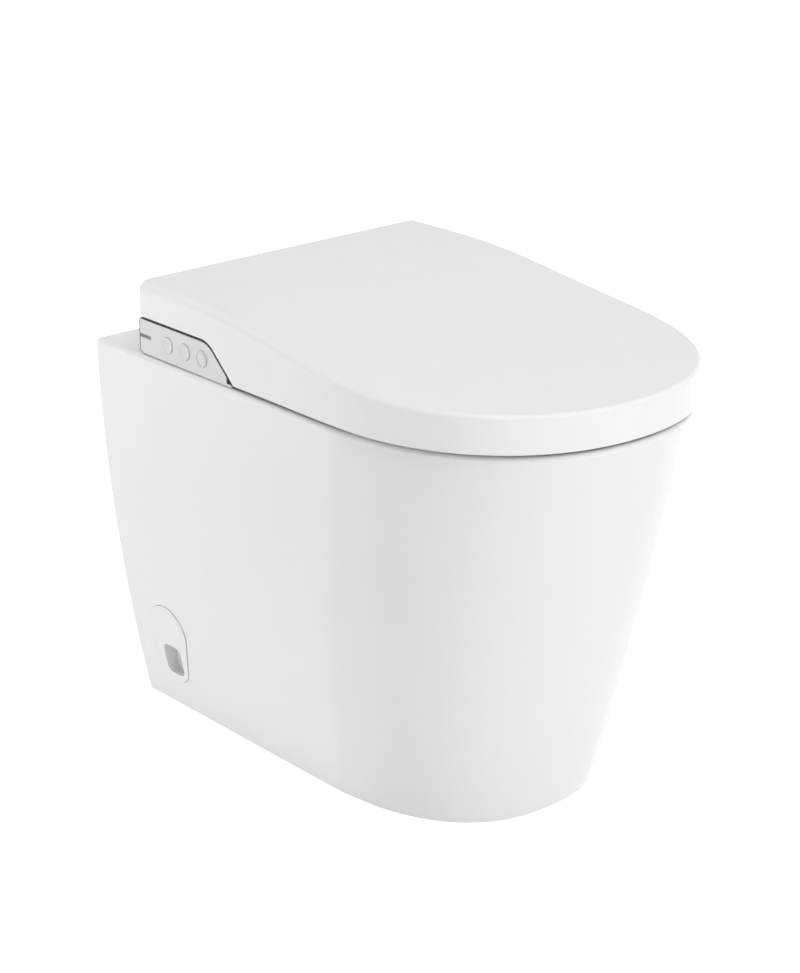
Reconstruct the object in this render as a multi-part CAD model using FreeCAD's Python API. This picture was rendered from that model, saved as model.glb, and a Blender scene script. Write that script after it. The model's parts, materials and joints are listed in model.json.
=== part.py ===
import FreeCAD, Part
import math
import os

# Smart toilet with a heated seat, in millimetres.
# X runs across the toilet, Y towards the wall, Z up. The origin is on the floor, in the middle of the
# toilet's own box. The user's right-hand side, which has the push buttons, is the -X side.
# Most places are given as a depth: the distance in front of the wall.

V = FreeCAD.Vector

# Whole object
LENGTH = 600.0
CURVE_POINTS = 20
OVER = 1.0

# Ceramic pan
PAN_HEIGHT = 420.7
PAN_WALL = 11.0
DECK_THICKNESS = 14.0
RIM_HALF = 194.1
RIM_REACH = 599.4
RIM_START = 353.9
RIM_POWER = 2.19
FOOT_HALF = 142.2
FOOT_REACH = 494.2
FOOT_START = 302.4
FOOT_POWER = 2.41
SIDE_SWELL = 0.85
FRONT_SWELL = 0.09
RIM_ROUND = 5.0
BACK_ROUND = 2.5
PAN_LEVELS = [0, 90, 180, 270, 350, PAN_HEIGHT]
FIX_LEVELS = [-1, 90, 180, 270]
SADDLE_TO = 250.0
SADDLE_WALL = 11.0

# Bowl: height, half width, nearest and furthest depth of each level
BOWL_LEVELS = [
    (430.0, 138.0, 248.0, 558.0),
    (400.0, 138.0, 248.0, 558.0),
    (330.0, 126.0, 258.0, 542.0),
    (240.0, 96.0, 282.0, 496.0),
    (160.0, 62.0, 304.0, 436.0),
    (84.0, 36.0, 318.0, 394.0),
]
BOWL_WIDEST = 0.45
BOWL_WALL = 9.0
BOWL_COLLAR = 5.0

# Trapway and outlet
TRAP_BORE = 26.0
TRAP_WALL = 8.0
TRAP_ROUTE = [(350, 112), (292, 112), (232, 214), (165, 180), (104, 180)]
TRAP_BENDS = [42, 36, 60]
OUTLET_HEIGHT = 180.0
SPIGOT_RADIUS = 51.0
SPIGOT_BORE = 44.0
SPIGOT_FROM = 22.0
SPIGOT_TO = 85.0
CONE_TO = 116.0

# Equipment well in the deck
WELL_HALF = 148.0
WELL_FROM = 100.0
WELL_TO = 222.0
WELL_FLOOR = 380.0
WELL_CORNER = 15.0
NOTCH_HALF = 38.0
NOTCH_FLOOR = 408.5
NOTCH_TO = 264.0
TRAY_BOLT_HOLE = 5.0

# Side caps and the fixings behind them
CAP_NEAR = 36.0
CAP_FAR = 97.0
CAP_LOW = 33.0
CAP_HIGH = 127.0
CAP_PROUD = 0.9
CAP_DEEP = 3.0
CAP_GAP = 0.5
CAP_NARROWING = 0.72
CAP_SEAT_GAP = 0.3
POCKET_NEAR = 51.0
POCKET_FAR = 81.0
POCKET_LOW = 42.0
POCKET_HIGH = 78.0
POCKET_BOTTOM = 141.0
POCKET_CORNER = 9.0
CUP_WALL = 1.6
CUP_GAP = 0.8
FIX_HEIGHT = 103.0
MID_CAP = (CAP_NEAR + CAP_FAR) / 2
SCREW_RADIUS = 4.0
SCREW_FIT = 0.03
SCREW_HOLE = 4.6
SCREW_SEAT = 152.7
SCREW_HEAD_THICK = 3.5
SCREW_HEAD_RADIUS = 7.5
SCREW_SINK_RADIUS = 10.0
CROSS_HALF = 5.0
CROSS_WIDTH_HALF = 0.8
CROSS_DEEP = 1.2
BRACKET_FACE = 121.0
BRACKET_PLATE = 3.0
BRACKET_FROM = 40.0
BRACKET_TO = 92.0
BRACKET_RISE = 14.0
BRACKET_NUT_RADIUS = 7.0
BRACKET_NUT_THICK = 5.0
BRACKET_FOOT_IN = 84.0
FLOOR_HOLE_X = 102.0
FLOOR_HOLE_SPREAD = 24.0
FLOOR_HOLE_RADIUS = 3.5

# Lid
LID_REAR = 75.2
LID_REACH = 598.7
LID_HALF_REAR = 190.3
LID_HALF = 195.0
LID_START = 392.7
LID_POWER = 2.13
LID_BOTTOM = 424.0
LID_WALL = 3.0
LID_TOP = [(75.2, 497.8), (206.1, 494.9), (336.9, 478.1), (467.8, 464.0), (598.7, 461.2)]
LID_CORNER = 3.0
LID_SOFT_REAR = 12.0
LID_SOFT_FRONT = 3.0
LID_SOFT_INSIDE = 0.8
SIDE_POINTS = 4
LINER_LOW = 452.6
LINER_THICK = 2.5
LINER_FROM = 242.0

# Common hinge line of the seat and the lid
HINGE_DEPTH = 84.7
HINGE_HEIGHT = 442.0
PIN_RADIUS = 4.0
PIN_CLEARANCE = 0.05
BARREL_RADIUS = 9.0
PIN_INNER = 108.0
PIN_OUTER = 186.8
EAR_IN = 176.5
EAR_OUT = 185.0
ARM_IN = 164.3
ARM_OUT = 174.3

# Side panels
PANEL_LOW = 421.8
PANEL_TOP = 457.7
PANEL_TIP = (225.4, 427.0)
PANEL_END = 222.0
PANEL_SLOPE = 42.2
PANEL_KNEE = 27.0
PANEL_GAP = 3.0
PANEL_WALL = 3.0
PANEL_CORNER = 5.0
TRIM_THICK = 2.6
TRIM_INSET = 0.8
TRIM_LOW = 424.5
TRIM_SWING = 18.4
FLANGE_TOP = 424.0
FLANGE_IN = 163.8
FLANGE_END = 229.0
SLOT_END = 95.3
SLOT_LOW = 438.6
SLOT_HIGH = 442.6
SLOT_DEEP = 189.2

# Push buttons, by depth
BUTTON_DEPTHS = {"flush_button": 124.0, "wash_button": 152.8, "stop_button": 181.6}
BUTTON_HEIGHT = 439.7
BUTTON_RADIUS = 8.7
BUTTON_GAP = 0.3
BUTTON_PROUD = 1.2
BUTTON_FLANGE = 10.1
BUTTON_EDGE = 0.5
BUTTON_STEM = 2.5
BUTTON_STEM_END = 185.8
BOARD_OUTER = 181.6
BOARD_THICK = 1.6
SWITCH_TOP = 184.2

# Seat unit
UNIT_HALF = 162.0
UNIT_WALL = 2.5
UNIT_PROFILE = [(76.5, 424.5), (76.5, 457.5), (81.5, 463.0), (81.5, 478.0), (92.0, 485.5),
                (184.0, 485.0), (204.0, 472.0), (222.0, 424.5)]
TRAY_BOTTOM = 421.2
TRAY_TOP = 424.2
TRAY_FROM = 76.5
TRAY_TO = 223.0
MOUTH_HALF = 22.0
MOUTH_TOP = 445.0
MOUTH_FROM = 202.0
APRON_DEPTH = 216.0
APRON_THICK = 2.0
BOLT_X = 88.0
BOLT_DEPTH = 88.0
HOSE_DEPTH = 112.0
UNIT_INSIDE = [(79.0, 420.0), (79.0, 456.5), (84.0, 462.0), (84.0, 476.7), (92.8, 483.0),
               (183.2, 482.5), (202.0, 470.3), (219.3, 424.5), (221.0, 420.0), (79.0, 420.0)]
UNIT_SOFT = 2.4
FRONT_LEAN = 20.75
FRONT_DEPTH = 222.0
FRONT_LOW = 424.5
FLAP_LOW = 4.0
FLAP_HIGH = 22.0
FLAP_HINGE = 20.5

# Seat
SEAT_HALF = 184.0
SEAT_FROM = 232.0
SEAT_REACH = 591.0
SEAT_START = 392.0
SEAT_BASE = 427.0
SEAT_SPLIT = 433.0
SEAT_TOP = 450.0
SEAT_WALL = 3.0
SEAT_CORNER = 12.0
SEAT_ROUND = 5.0
HOLE_HALF = 106.0
HOLE_NEAR = 267.0
HOLE_FAR = 543.0
TUNNEL_HALF = 66.0
TUNNEL_TOP = 438.0

# Wash nozzles: built level with the tip at the origin, then tilted and put in place
NOZZLE_TILT = 18.0
NOZZLE_TIP_DEPTH = 218.0
NOZZLE_TIP_HEIGHT = 430.3
NOZZLE_X = 10.0
NOZZLE_RADIUS = 7.5
NOZZLE_LENGTH = 130.0
NOZZLE_BORE = 3.0
NOZZLE_CLEARANCE = 0.1
GEAR_MODULE = 1.0
GEAR_TEETH = 12
GEAR_AT = 28.0
RACK_PITCH_LINE = 8.7
RACK_TEETH = 33
TOOTH_SLACK = 0.12

# Reservoir, pump, valve and spreader under the deck
FRAME_Z = 262.0
FRAME_FROM = 30.0
FRAME_TO = 182.0
FRAME_PLATE = 2.0
STRAP_X = 144.0
STRAP_FROM = 118.0
STRAP_TO = 150.0
HOOK_REACH = 14.0
HOOK_THICK = 1.5
VALVE_HALF = 17.0
VALVE_SHELF = 322.0
VALVE_SHELF_THICK = 2.5
VALVE_X = -139.0
VALVE_FROM = 46.0
VALVE_TO = 92.0
VALVE_TOP = 364.0
VALVE_OUTLET_Z = 350.0
WASH_SUPPLY_DEPTH = 82.0
THREAD_FROM = 22.0
SUPPLY_Z = 345.0
SUPPLY_BORE = 7.0
MAINS_X = 96.0
MAINS_Z = 344.0
THREAD_RADIUS = 10.48
SPREADER_HEIGHT = 388.0
SPREADER_PORT = 13.3
SPREADER_FROM = 226.0
SPREADER_STEM = 13.0
SPREADER_BORE = 8.0
SPREADER_HALF = 26.0
SPREADER_FACE = 255.5
SPREADER_END = 265.5
SPREADER_CORNER = 8.0
FLUSH_HOSE_RADIUS = 9.0
FLUSH_HOSE_BORE = 6.5
FLUSH_HOSE_DEPTH = 196.0
FLUSH_OUTLET_X = 126.0
FLUSH_OUTLET_DEPTH = 166.0
FLUSH_OUTLET_Z = 305.0
TANK_X0 = -108.0
TANK_X1 = 58.0
TANK_FROM = 32.0
TANK_TO = 172.0
TANK_LOW = 266.0
TANK_HIGH = 382.0
TANK_WALL = 3.0
TANK_CORNER = 16.0
FLOAT_X = -40.0
FLOAT_DEPTH = 100.0
FLOAT_LOW = 282.2
FLOAT_HEIGHT = 22.0
FLOAT_RADIUS = 15.0
FLOAT_CORNER = 4.0
FLOAT_CLEARANCE = 0.05
LEVEL_ROD = 3.0
LEVEL_ROD_LOW = 276.0
LEVEL_PORT = 17.0
LEVEL_NECK = 16.6
LEVEL_CAP = 21.0
PORT_GAP = 0.3
FILL_HOSE_RADIUS = 5.0
FILL_HOSE_BORE = 3.2
FILL_DEPTH = 118.0
FILL_Z = 372.0
PUMP_X = 105.0
PUMP_DEPTH = 118.0
PUMP_LOW = 292.0
PUMP_HIGH = 318.0
PUMP_RADIUS = 32.0
PUMP_WALL = 3.0
PUMP_INLET_Z = 279.0
PUMP_SHAFT = 3.0
PUMP_MOTOR_RADIUS = 25.0
PUMP_MOTOR_LENGTH = 52.0

# Blowers
DRYER_X = 70.0
DRYER_DEPTH = 160.0
DRYER_RADIUS = 32.0
DRYER_LOW = 430.0
DRYER_HIGH = 464.0
OUTLET_X0 = 38.0
OUTLET_X1 = 60.0
FILTER_FAN_X = 130.0
FILTER_FAN_DEPTH = 132.0
FILTER_FAN_RADIUS = 22.0


# ---------------------------------------------------------------- helpers

def y_at(depth):
    """Y of a point at this depth in front of the wall."""
    return LENGTH / 2 - depth


def block(x0, x1, d0, d1, z0, z1):
    """Box between two X, two depths and two heights."""
    return Part.makeBox(x1 - x0, d1 - d0, z1 - z0, V(x0, y_at(d1), z0))


def rod_x(x0, x1, depth, z, radius):
    """Cylinder along X."""
    return Part.makeCylinder(radius, x1 - x0, V(x0, y_at(depth), z), V(1, 0, 0))


def rod_y(d0, d1, x, z, radius):
    """Cylinder along Y."""
    return Part.makeCylinder(radius, d1 - d0, V(x, y_at(d1), z), V(0, 1, 0))


def rod_z(z0, z1, x, depth, radius):
    """Cylinder along Z."""
    return Part.makeCylinder(radius, z1 - z0, V(x, y_at(depth), z0), V(0, 0, 1))


def mirrored(shape):
    """The same shape on the other side of the toilet."""
    return shape.mirror(V(0, 0, 0), V(1, 0, 0))


def both_sides(shape):
    """The shape and its mirror image, as separate solids."""
    return Part.makeCompound([shape, mirrored(shape)])


def round_upright(shape, radius):
    """The shape with its straight upright edges rounded."""
    edges = [e for e in shape.Edges if is_upright(e)]
    return shape.makeFillet(radius, edges)


def is_upright(edge):
    """True for a straight edge that stands along Z."""
    start = edge.Vertexes[0].Point
    end = edge.Vertexes[-1].Point
    return len(edge.Vertexes) == 2 and abs(start.x - end.x) + abs(start.y - end.y) < 0.001


def power_points(half, start, reach, power, z):
    """Points of a superellipse from the +X side round the front to the -X side."""
    points = []
    for i in range(CURVE_POINTS + 1):
        turn = math.pi * i / CURVE_POINTS
        across = math.copysign(abs(math.cos(turn)) ** (2 / power), math.cos(turn))
        along = abs(math.sin(turn)) ** (2 / power)
        points.append(V(half * across, y_at(start + (reach - start) * along), z))
    return points


def power_curve(half, start, reach, power, z):
    """Round end of a plan, square to the straight sides that it joins."""
    points = power_points(half, start, reach, power, z)
    curve = Part.BSplineCurve()
    curve.interpolate(points, InitialTangent=V(0, -1, 0), FinalTangent=V(0, 1, 0))
    return curve.toShape()


def plan_wire(half_rear, half, rear, start, reach, power, z):
    """Plan outline: straight back, straight sides and a round front."""
    back_left = V(-half_rear, y_at(rear), z)
    back_right = V(half_rear, y_at(rear), z)
    right = V(half, y_at(start), z)
    left = V(-half, y_at(start), z)
    return Part.Wire([
        Part.makeLine(back_left, back_right),
        Part.makeLine(back_right, right),
        power_curve(half, start, reach, power, z),
        Part.makeLine(left, back_left),
    ])


def egg_wire(half, near, far, z):
    """Closed egg-shaped plan outline of the bowl."""
    middle = near + (far - near) * BOWL_WIDEST
    points = []
    for i in range(CURVE_POINTS):
        turn = 2 * math.pi * i / CURVE_POINTS
        reach = far - middle if math.sin(turn) > 0 else middle - near
        points.append(V(half * math.cos(turn), y_at(middle + reach * math.sin(turn)), z))
    curve = Part.BSplineCurve()
    curve.interpolate(points, PeriodicFlag=True)
    return Part.Wire([curve.toShape()])


def side_prism(points, x0, x1):
    """Solid whose outline is given by (depth, height) points, between two X."""
    corners = [V(x0, y_at(d), z) for d, z in points]
    face = Part.Face(Part.makePolygon(corners + corners[:1]))
    return face.extrude(V(x1 - x0, 0, 0))


def bent_route(points, bends, x=None):
    """Path through the points, with an arc of the given radius at each bend."""
    places = [V(x, y_at(p[0]), p[1]) if x is not None else V(p[0], y_at(p[1]), p[2]) for p in points]
    edges = []
    start = places[0]
    for i, radius in enumerate(bends):
        before = (places[i] - places[i + 1]).normalize()
        after = (places[i + 2] - places[i + 1]).normalize()
        half_turn = (math.pi - before.getAngle(after)) / 2
        setback = radius * math.tan(half_turn)
        enter = places[i + 1] + before * setback
        leave = places[i + 1] + after * setback
        bisector = (before + after).normalize()
        middle = places[i + 1] + bisector * (radius / math.cos(half_turn) - radius)
        edges.append(Part.makeLine(start, enter))
        edges.append(Part.Arc(enter, middle, leave).toShape())
        start = leave
    edges.append(Part.makeLine(start, places[-1]))
    return Part.Wire(edges)


def pipe(route, radius):
    """Round solid bar along a route."""
    start = route.Edges[0].Vertexes[0].Point
    heading = route.Edges[0].tangentAt(route.Edges[0].FirstParameter)
    ring = Part.Wire([Part.makeCircle(radius, start, heading)])
    return route.makePipeShell([ring], True, True)


def tube(route, radius, bore):
    """Round tube along a route."""
    return pipe(route, radius).cut(pipe(route, bore))


# ---------------------------------------------------------------- ceramic pan and its fixings

def pan_section(z, shrink=0.0, rear=0.0):
    """Plan outline of the pan at a height, drawn in by a wall thickness."""
    t = z / PAN_HEIGHT
    across = t + SIDE_SWELL * t * (1 - t)
    along = t + FRONT_SWELL * t * (1 - t)
    half = FOOT_HALF + (RIM_HALF - FOOT_HALF) * across - shrink
    reach = FOOT_REACH + (RIM_REACH - FOOT_REACH) * along - shrink
    start = FOOT_START + (RIM_START - FOOT_START) * t
    power = FOOT_POWER + (RIM_POWER - FOOT_POWER) * t
    return plan_wire(half, half, rear, start, reach, power, z)


def pan_body(levels, shrink=0.0, rear=0.0):
    """Solid of the pan's outer form, or of a form inside it."""
    return Part.makeLoft([pan_section(z, shrink, rear) for z in levels], True)


def bowl_body(grow):
    """Solid of the bowl's hollow, or with grow of the china round it."""
    wires = []
    for z, half, near, far in BOWL_LEVELS:
        wires.append(egg_wire(half + grow, near - grow, far + grow, z - grow))
    return Part.makeLoft(wires, True)


def outlet_body(trap_radius, spigot_radius, stretch):
    """Trapway, cone and outlet spigot as one bar, longer at both ends by a stretch."""
    first = (TRAP_ROUTE[0][0] + stretch, TRAP_ROUTE[0][1])
    route = bent_route([first] + TRAP_ROUTE[1:], TRAP_BENDS, 0)
    bar = pipe(route, trap_radius)
    cone = Part.makeCone(trap_radius, spigot_radius, CONE_TO - SPIGOT_TO,
                         V(0, y_at(CONE_TO), OUTLET_HEIGHT), V(0, 1, 0))
    spigot = rod_y(SPIGOT_FROM - stretch, SPIGOT_TO, 0, OUTLET_HEIGHT, spigot_radius)
    return bar.fuse([cone, spigot])


def cap_outline(grow, x0, x1):
    """Egg-shaped prism of a side cap on the +X side: round top, narrower round foot."""
    top_radius = (CAP_FAR - CAP_NEAR) / 2 + grow
    foot_radius = top_radius * CAP_NARROWING
    middle = (CAP_FAR + CAP_NEAR) / 2
    top = CAP_HIGH + grow - top_radius
    foot = CAP_LOW - grow + foot_radius
    lean = math.asin((top_radius - foot_radius) / (top - foot))
    corners = []
    for height, radius, side in ((foot, foot_radius, 1), (top, top_radius, 1),
                                 (top, top_radius, -1), (foot, foot_radius, -1)):
        corners.append((middle + side * radius * math.cos(lean), height - radius * math.sin(lean)))
    waist = side_prism(corners, x0, x1)
    return waist.fuse([rod_x(x0, x1, middle, top, top_radius), rod_x(x0, x1, middle, foot, foot_radius)])


def pocket(grow, x0, x1):
    """Rounded prism of a cap's finger pocket on the +X side."""
    box = block(x0, x1, POCKET_NEAR - grow, POCKET_FAR + grow, POCKET_LOW - grow, POCKET_HIGH + grow)
    edges = [e for e in box.Edges if abs(e.tangentAt(0).x) > 0.9]
    return box.makeFillet(POCKET_CORNER + grow, edges)


def ceramic_pan():
    """Pan of vitreous china: tapered skirt, deck, bowl, trapway and outlet in one casting."""
    outer = pan_body(PAN_LEVELS, 0, -6)
    outer = outer.common(block(-220, 220, 0, 620, -1, PAN_HEIGHT + 1))
    corners = [e for e in outer.Edges if e.BoundBox.YMin > y_at(0.1) and e.BoundBox.ZLength > 100]
    outer = outer.makeFillet(BACK_ROUND, corners)
    rim = [e for e in outer.Edges if e.BoundBox.ZMin > PAN_HEIGHT - 0.01]
    outer = outer.makeFillet(RIM_ROUND, rim)
    hollow = pan_body([-8] + PAN_LEVELS[1:-1] + [PAN_HEIGHT - DECK_THICKNESS], PAN_WALL, -6)
    shell = outer.cut(hollow)
    bowl = bowl_body(BOWL_WALL)
    bowl = bowl.common(block(-200, 200, 200, 590, 0, PAN_HEIGHT - BOWL_COLLAR))
    saddle = block(-NOTCH_HALF - 12, NOTCH_HALF + 12, WELL_TO - 4, SADDLE_TO, NOTCH_FLOOR - SADDLE_WALL,
                   PAN_HEIGHT - 4)
    pan = shell.fuse([bowl, saddle, outlet_body(TRAP_BORE + TRAP_WALL, SPIGOT_RADIUS, 0)])
    well = round_upright(block(-WELL_HALF, WELL_HALF, WELL_FROM, WELL_TO, WELL_FLOOR, 440), WELL_CORNER)
    notch = block(-NOTCH_HALF, NOTCH_HALF, WELL_TO - 10, NOTCH_TO, NOTCH_FLOOR, 440)
    pan = pan.cut([bowl_body(0), outlet_body(TRAP_BORE, SPIGOT_BORE, 6), well, notch])
    port = rod_y(SPREADER_FROM, SPREADER_FROM + 36, 0, SPREADER_HEIGHT, SPREADER_PORT)
    bolts = [rod_z(400, 430, x, BOLT_DEPTH, TRAY_BOLT_HOLE) for x in (-BOLT_X, BOLT_X)]
    pan = pan.cut([port] + bolts)
    for side in (1, -1):
        pan = pan.cut(cap_seat(side))
    return pan


def cap_seat(side):
    """Taken out of the china for one side cap: its shallow seat, the cup's hole and the screw's hole."""
    inner = pan_body(FIX_LEVELS, CAP_DEEP + CAP_SEAT_GAP)
    seat = cap_outline(CAP_GAP, 100, 200).cut(inner)
    cup = pocket(CUP_WALL + CUP_GAP, 110, 200)
    sink = rod_x(SCREW_SEAT - 0.2, 200, MID_CAP, FIX_HEIGHT, SCREW_SINK_RADIUS)
    shank = rod_x(110, 200, MID_CAP, FIX_HEIGHT, SCREW_HOLE)
    cut = seat.fuse([cup, sink, shank])
    return cut if side > 0 else mirrored(cut)


def side_cap(side):
    """Pull-off cap over the side fixing, with a finger pocket moulded as a cup."""
    skin = pan_body(FIX_LEVELS, -CAP_PROUD).cut(pan_body([-2, 90, 180, 271], CAP_DEEP))
    plate = cap_outline(0, 100, 200).common(skin)
    cup = pocket(CUP_WALL, POCKET_BOTTOM - CUP_WALL, 175).common(pan_body(FIX_LEVELS, 1))
    cap = plate.fuse(cup).cut(pocket(0, POCKET_BOTTOM, 200))
    return cap if side > 0 else mirrored(cap)


def floor_brackets():
    """Two angle brackets that stand on the floor inside the skirt and hold it down."""
    outer = BRACKET_FACE + BRACKET_PLATE
    foot = block(BRACKET_FOOT_IN, outer, BRACKET_FROM, BRACKET_TO, 0, BRACKET_PLATE)
    wall = block(BRACKET_FACE, outer, BRACKET_FROM, BRACKET_TO, 0, FIX_HEIGHT + BRACKET_RISE)
    bracket = foot.fuse(wall)
    for depth in (MID_CAP - FLOOR_HOLE_SPREAD / 2, MID_CAP + FLOOR_HOLE_SPREAD / 2):
        bracket = bracket.cut(rod_z(-1, 10, FLOOR_HOLE_X, depth, FLOOR_HOLE_RADIUS))
    nut = rod_x(BRACKET_FACE - BRACKET_NUT_THICK, BRACKET_FACE, MID_CAP, FIX_HEIGHT, BRACKET_NUT_RADIUS)
    bracket = bracket.fuse(nut).cut(rod_x(80, 130, MID_CAP, FIX_HEIGHT, SCREW_RADIUS + SCREW_FIT))
    return both_sides(bracket)


def side_fixing_screws():
    """Two screws through the skirt into the brackets, hidden by the side caps."""
    end = SCREW_SEAT + SCREW_HEAD_THICK
    head = rod_x(SCREW_SEAT, end, MID_CAP, FIX_HEIGHT, SCREW_HEAD_RADIUS)
    shank = rod_x(BRACKET_FACE - BRACKET_NUT_THICK, SCREW_SEAT + OVER, MID_CAP, FIX_HEIGHT, SCREW_RADIUS)
    slots = []
    for along, up in ((CROSS_HALF, CROSS_WIDTH_HALF), (CROSS_WIDTH_HALF, CROSS_HALF)):
        slots.append(block(end - CROSS_DEEP, end + OVER, MID_CAP - along, MID_CAP + along,
                           FIX_HEIGHT - up, FIX_HEIGHT + up))
    return both_sides(head.fuse(shank).cut(slots))


# ---------------------------------------------------------------- flush works under the deck


def equipment_frame():
    """Bent steel frame that hangs from the edges of the deck's well and carries the flush works."""
    edge = STRAP_X + FRAME_PLATE
    base = block(-edge, edge, FRAME_FROM, FRAME_TO, FRAME_Z, FRAME_Z + FRAME_PLATE)
    strap = block(STRAP_X, edge, STRAP_FROM, STRAP_TO, FRAME_Z, PAN_HEIGHT + HOOK_THICK)
    hook = block(STRAP_X, STRAP_X + HOOK_REACH, STRAP_FROM, STRAP_TO, PAN_HEIGHT, PAN_HEIGHT + HOOK_THICK)
    valve_x0 = VALVE_X - VALVE_HALF
    valve_x1 = VALVE_X + VALVE_HALF
    valve_plate = block(valve_x0, valve_x1, 96, 98, FRAME_Z, 330)
    valve_shelf = block(valve_x0, valve_x1, 46, 98, VALVE_SHELF, VALVE_SHELF + VALVE_SHELF_THICK)
    inlet_plate = block(MAINS_X - 26, MAINS_X + 26, 62, 64, FRAME_Z, 366)
    inlet_hole = block(MAINS_X - 18, MAINS_X + 18, 60, 66, 330, 358)
    window = block(-90, 40, 60, 150, FRAME_Z - OVER, FRAME_Z + FRAME_PLATE + OVER)
    frame = base.fuse([strap, hook, mirrored(strap), mirrored(hook), valve_plate, valve_shelf, inlet_plate])
    return frame.cut([inlet_hole, round_upright(window, 12)])


def flush_reservoir():
    """Blow-moulded reservoir with a port for the level rod, one for filling and one to the pump."""
    outer = block(TANK_X0, TANK_X1, TANK_FROM, TANK_TO, TANK_LOW - 2, TANK_HIGH)
    outer = round_upright(outer, TANK_CORNER)
    inner = block(TANK_X0 + TANK_WALL, TANK_X1 - TANK_WALL, TANK_FROM + TANK_WALL, TANK_TO - TANK_WALL,
                  TANK_LOW + 1, TANK_HIGH - TANK_WALL)
    inner = round_upright(inner, TANK_CORNER - TANK_WALL)
    tank = outer.cut(inner)
    rod_port = rod_z(TANK_HIGH - 4, TANK_HIGH + OVER, FLOAT_X, FLOAT_DEPTH, LEVEL_PORT)
    pump_port = rod_x(TANK_X1 - 5, TANK_X1 + OVER, PUMP_DEPTH, PUMP_INLET_Z, FLUSH_HOSE_RADIUS + PORT_GAP)
    fill_port = rod_x(TANK_X0 - OVER, TANK_X0 + 5, FILL_DEPTH, FILL_Z, FILL_HOSE_RADIUS + PORT_GAP)
    return tank.cut([rod_port, pump_port, fill_port])


def level_sensor():
    """Screw cap with the level rod and the clip that stops the float."""
    cap = rod_z(TANK_HIGH, TANK_HIGH + 4, FLOAT_X, FLOAT_DEPTH, LEVEL_CAP)
    neck = rod_z(TANK_HIGH - 6, TANK_HIGH, FLOAT_X, FLOAT_DEPTH, LEVEL_NECK)
    rod = rod_z(LEVEL_ROD_LOW, TANK_HIGH, FLOAT_X, FLOAT_DEPTH, LEVEL_ROD)
    clip = rod_z(FLOAT_LOW - 2.2, FLOAT_LOW - 0.2, FLOAT_X, FLOAT_DEPTH, 2 * LEVEL_ROD)
    return cap.fuse([neck, rod, clip])


def reservoir_float():
    """Hollow float that rides on the level rod."""
    body = rod_z(FLOAT_LOW, FLOAT_LOW + FLOAT_HEIGHT, FLOAT_X, FLOAT_DEPTH, FLOAT_RADIUS)
    edges = [e for e in body.Edges if e.BoundBox.ZLength < 0.01]
    body = body.makeFillet(FLOAT_CORNER, edges)
    return body.cut(rod_z(270, 310, FLOAT_X, FLOAT_DEPTH, LEVEL_ROD + FLOAT_CLEARANCE))


def inlet_valve():
    """Solenoid valve with the threaded water inlet at the back."""
    half = VALVE_HALF - 1
    low = VALVE_SHELF + VALVE_SHELF_THICK
    body = round_upright(block(VALVE_X - half, VALVE_X + half, VALVE_FROM, VALVE_TO, low, VALVE_TOP), 4)
    thread = rod_y(THREAD_FROM, VALVE_FROM, VALVE_X, SUPPLY_Z, THREAD_RADIUS)
    collar = rod_y(VALVE_FROM - 3, VALVE_FROM, VALVE_X, SUPPLY_Z, 14)
    coil = rod_z(VALVE_TOP, VALVE_TOP + 24, VALVE_X + 3, 60, 11)
    outlet = rod_y(VALVE_TO, VALVE_TO + 4, VALVE_X, VALVE_OUTLET_Z, 7)
    top_outlet = rod_z(VALVE_TOP, VALVE_TOP + 4, VALVE_X, WASH_SUPPLY_DEPTH, 5)
    bore = rod_y(THREAD_FROM - 2, 70, VALVE_X, SUPPLY_Z, SUPPLY_BORE)
    return body.fuse([thread, collar, coil, outlet, top_outlet]).cut(bore)


def fill_hose():
    """Hose from the inlet valve to the reservoir."""
    route = bent_route([(VALVE_X, VALVE_TO + 4, VALVE_OUTLET_Z), (VALVE_X, FILL_DEPTH, VALVE_OUTLET_Z),
                        (VALVE_X, FILL_DEPTH, FILL_Z), (TANK_X0 + TANK_WALL, FILL_DEPTH, FILL_Z)], [9, 9])
    return tube(route, FILL_HOSE_RADIUS, FILL_HOSE_BORE)


def power_inlet():
    """Panel socket for the mains lead, without its lead."""
    flange = block(MAINS_X - 22, MAINS_X + 22, 59, 62, MAINS_Z - 18, MAINS_Z + 18)
    body = block(MAINS_X - 17, MAINS_X + 17, 62, 86, MAINS_Z - 13, MAINS_Z + 13)
    mouth = block(MAINS_X - 14, MAINS_X + 14, 58, 80, MAINS_Z - 10, MAINS_Z + 10)
    prongs = [block(MAINS_X + dx - 1, MAINS_X + dx + 1, 68, 82, MAINS_Z - 3, MAINS_Z + 3) for dx in (-7, 0, 7)]
    return flange.fuse(body).cut(mouth).fuse(prongs)


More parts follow.
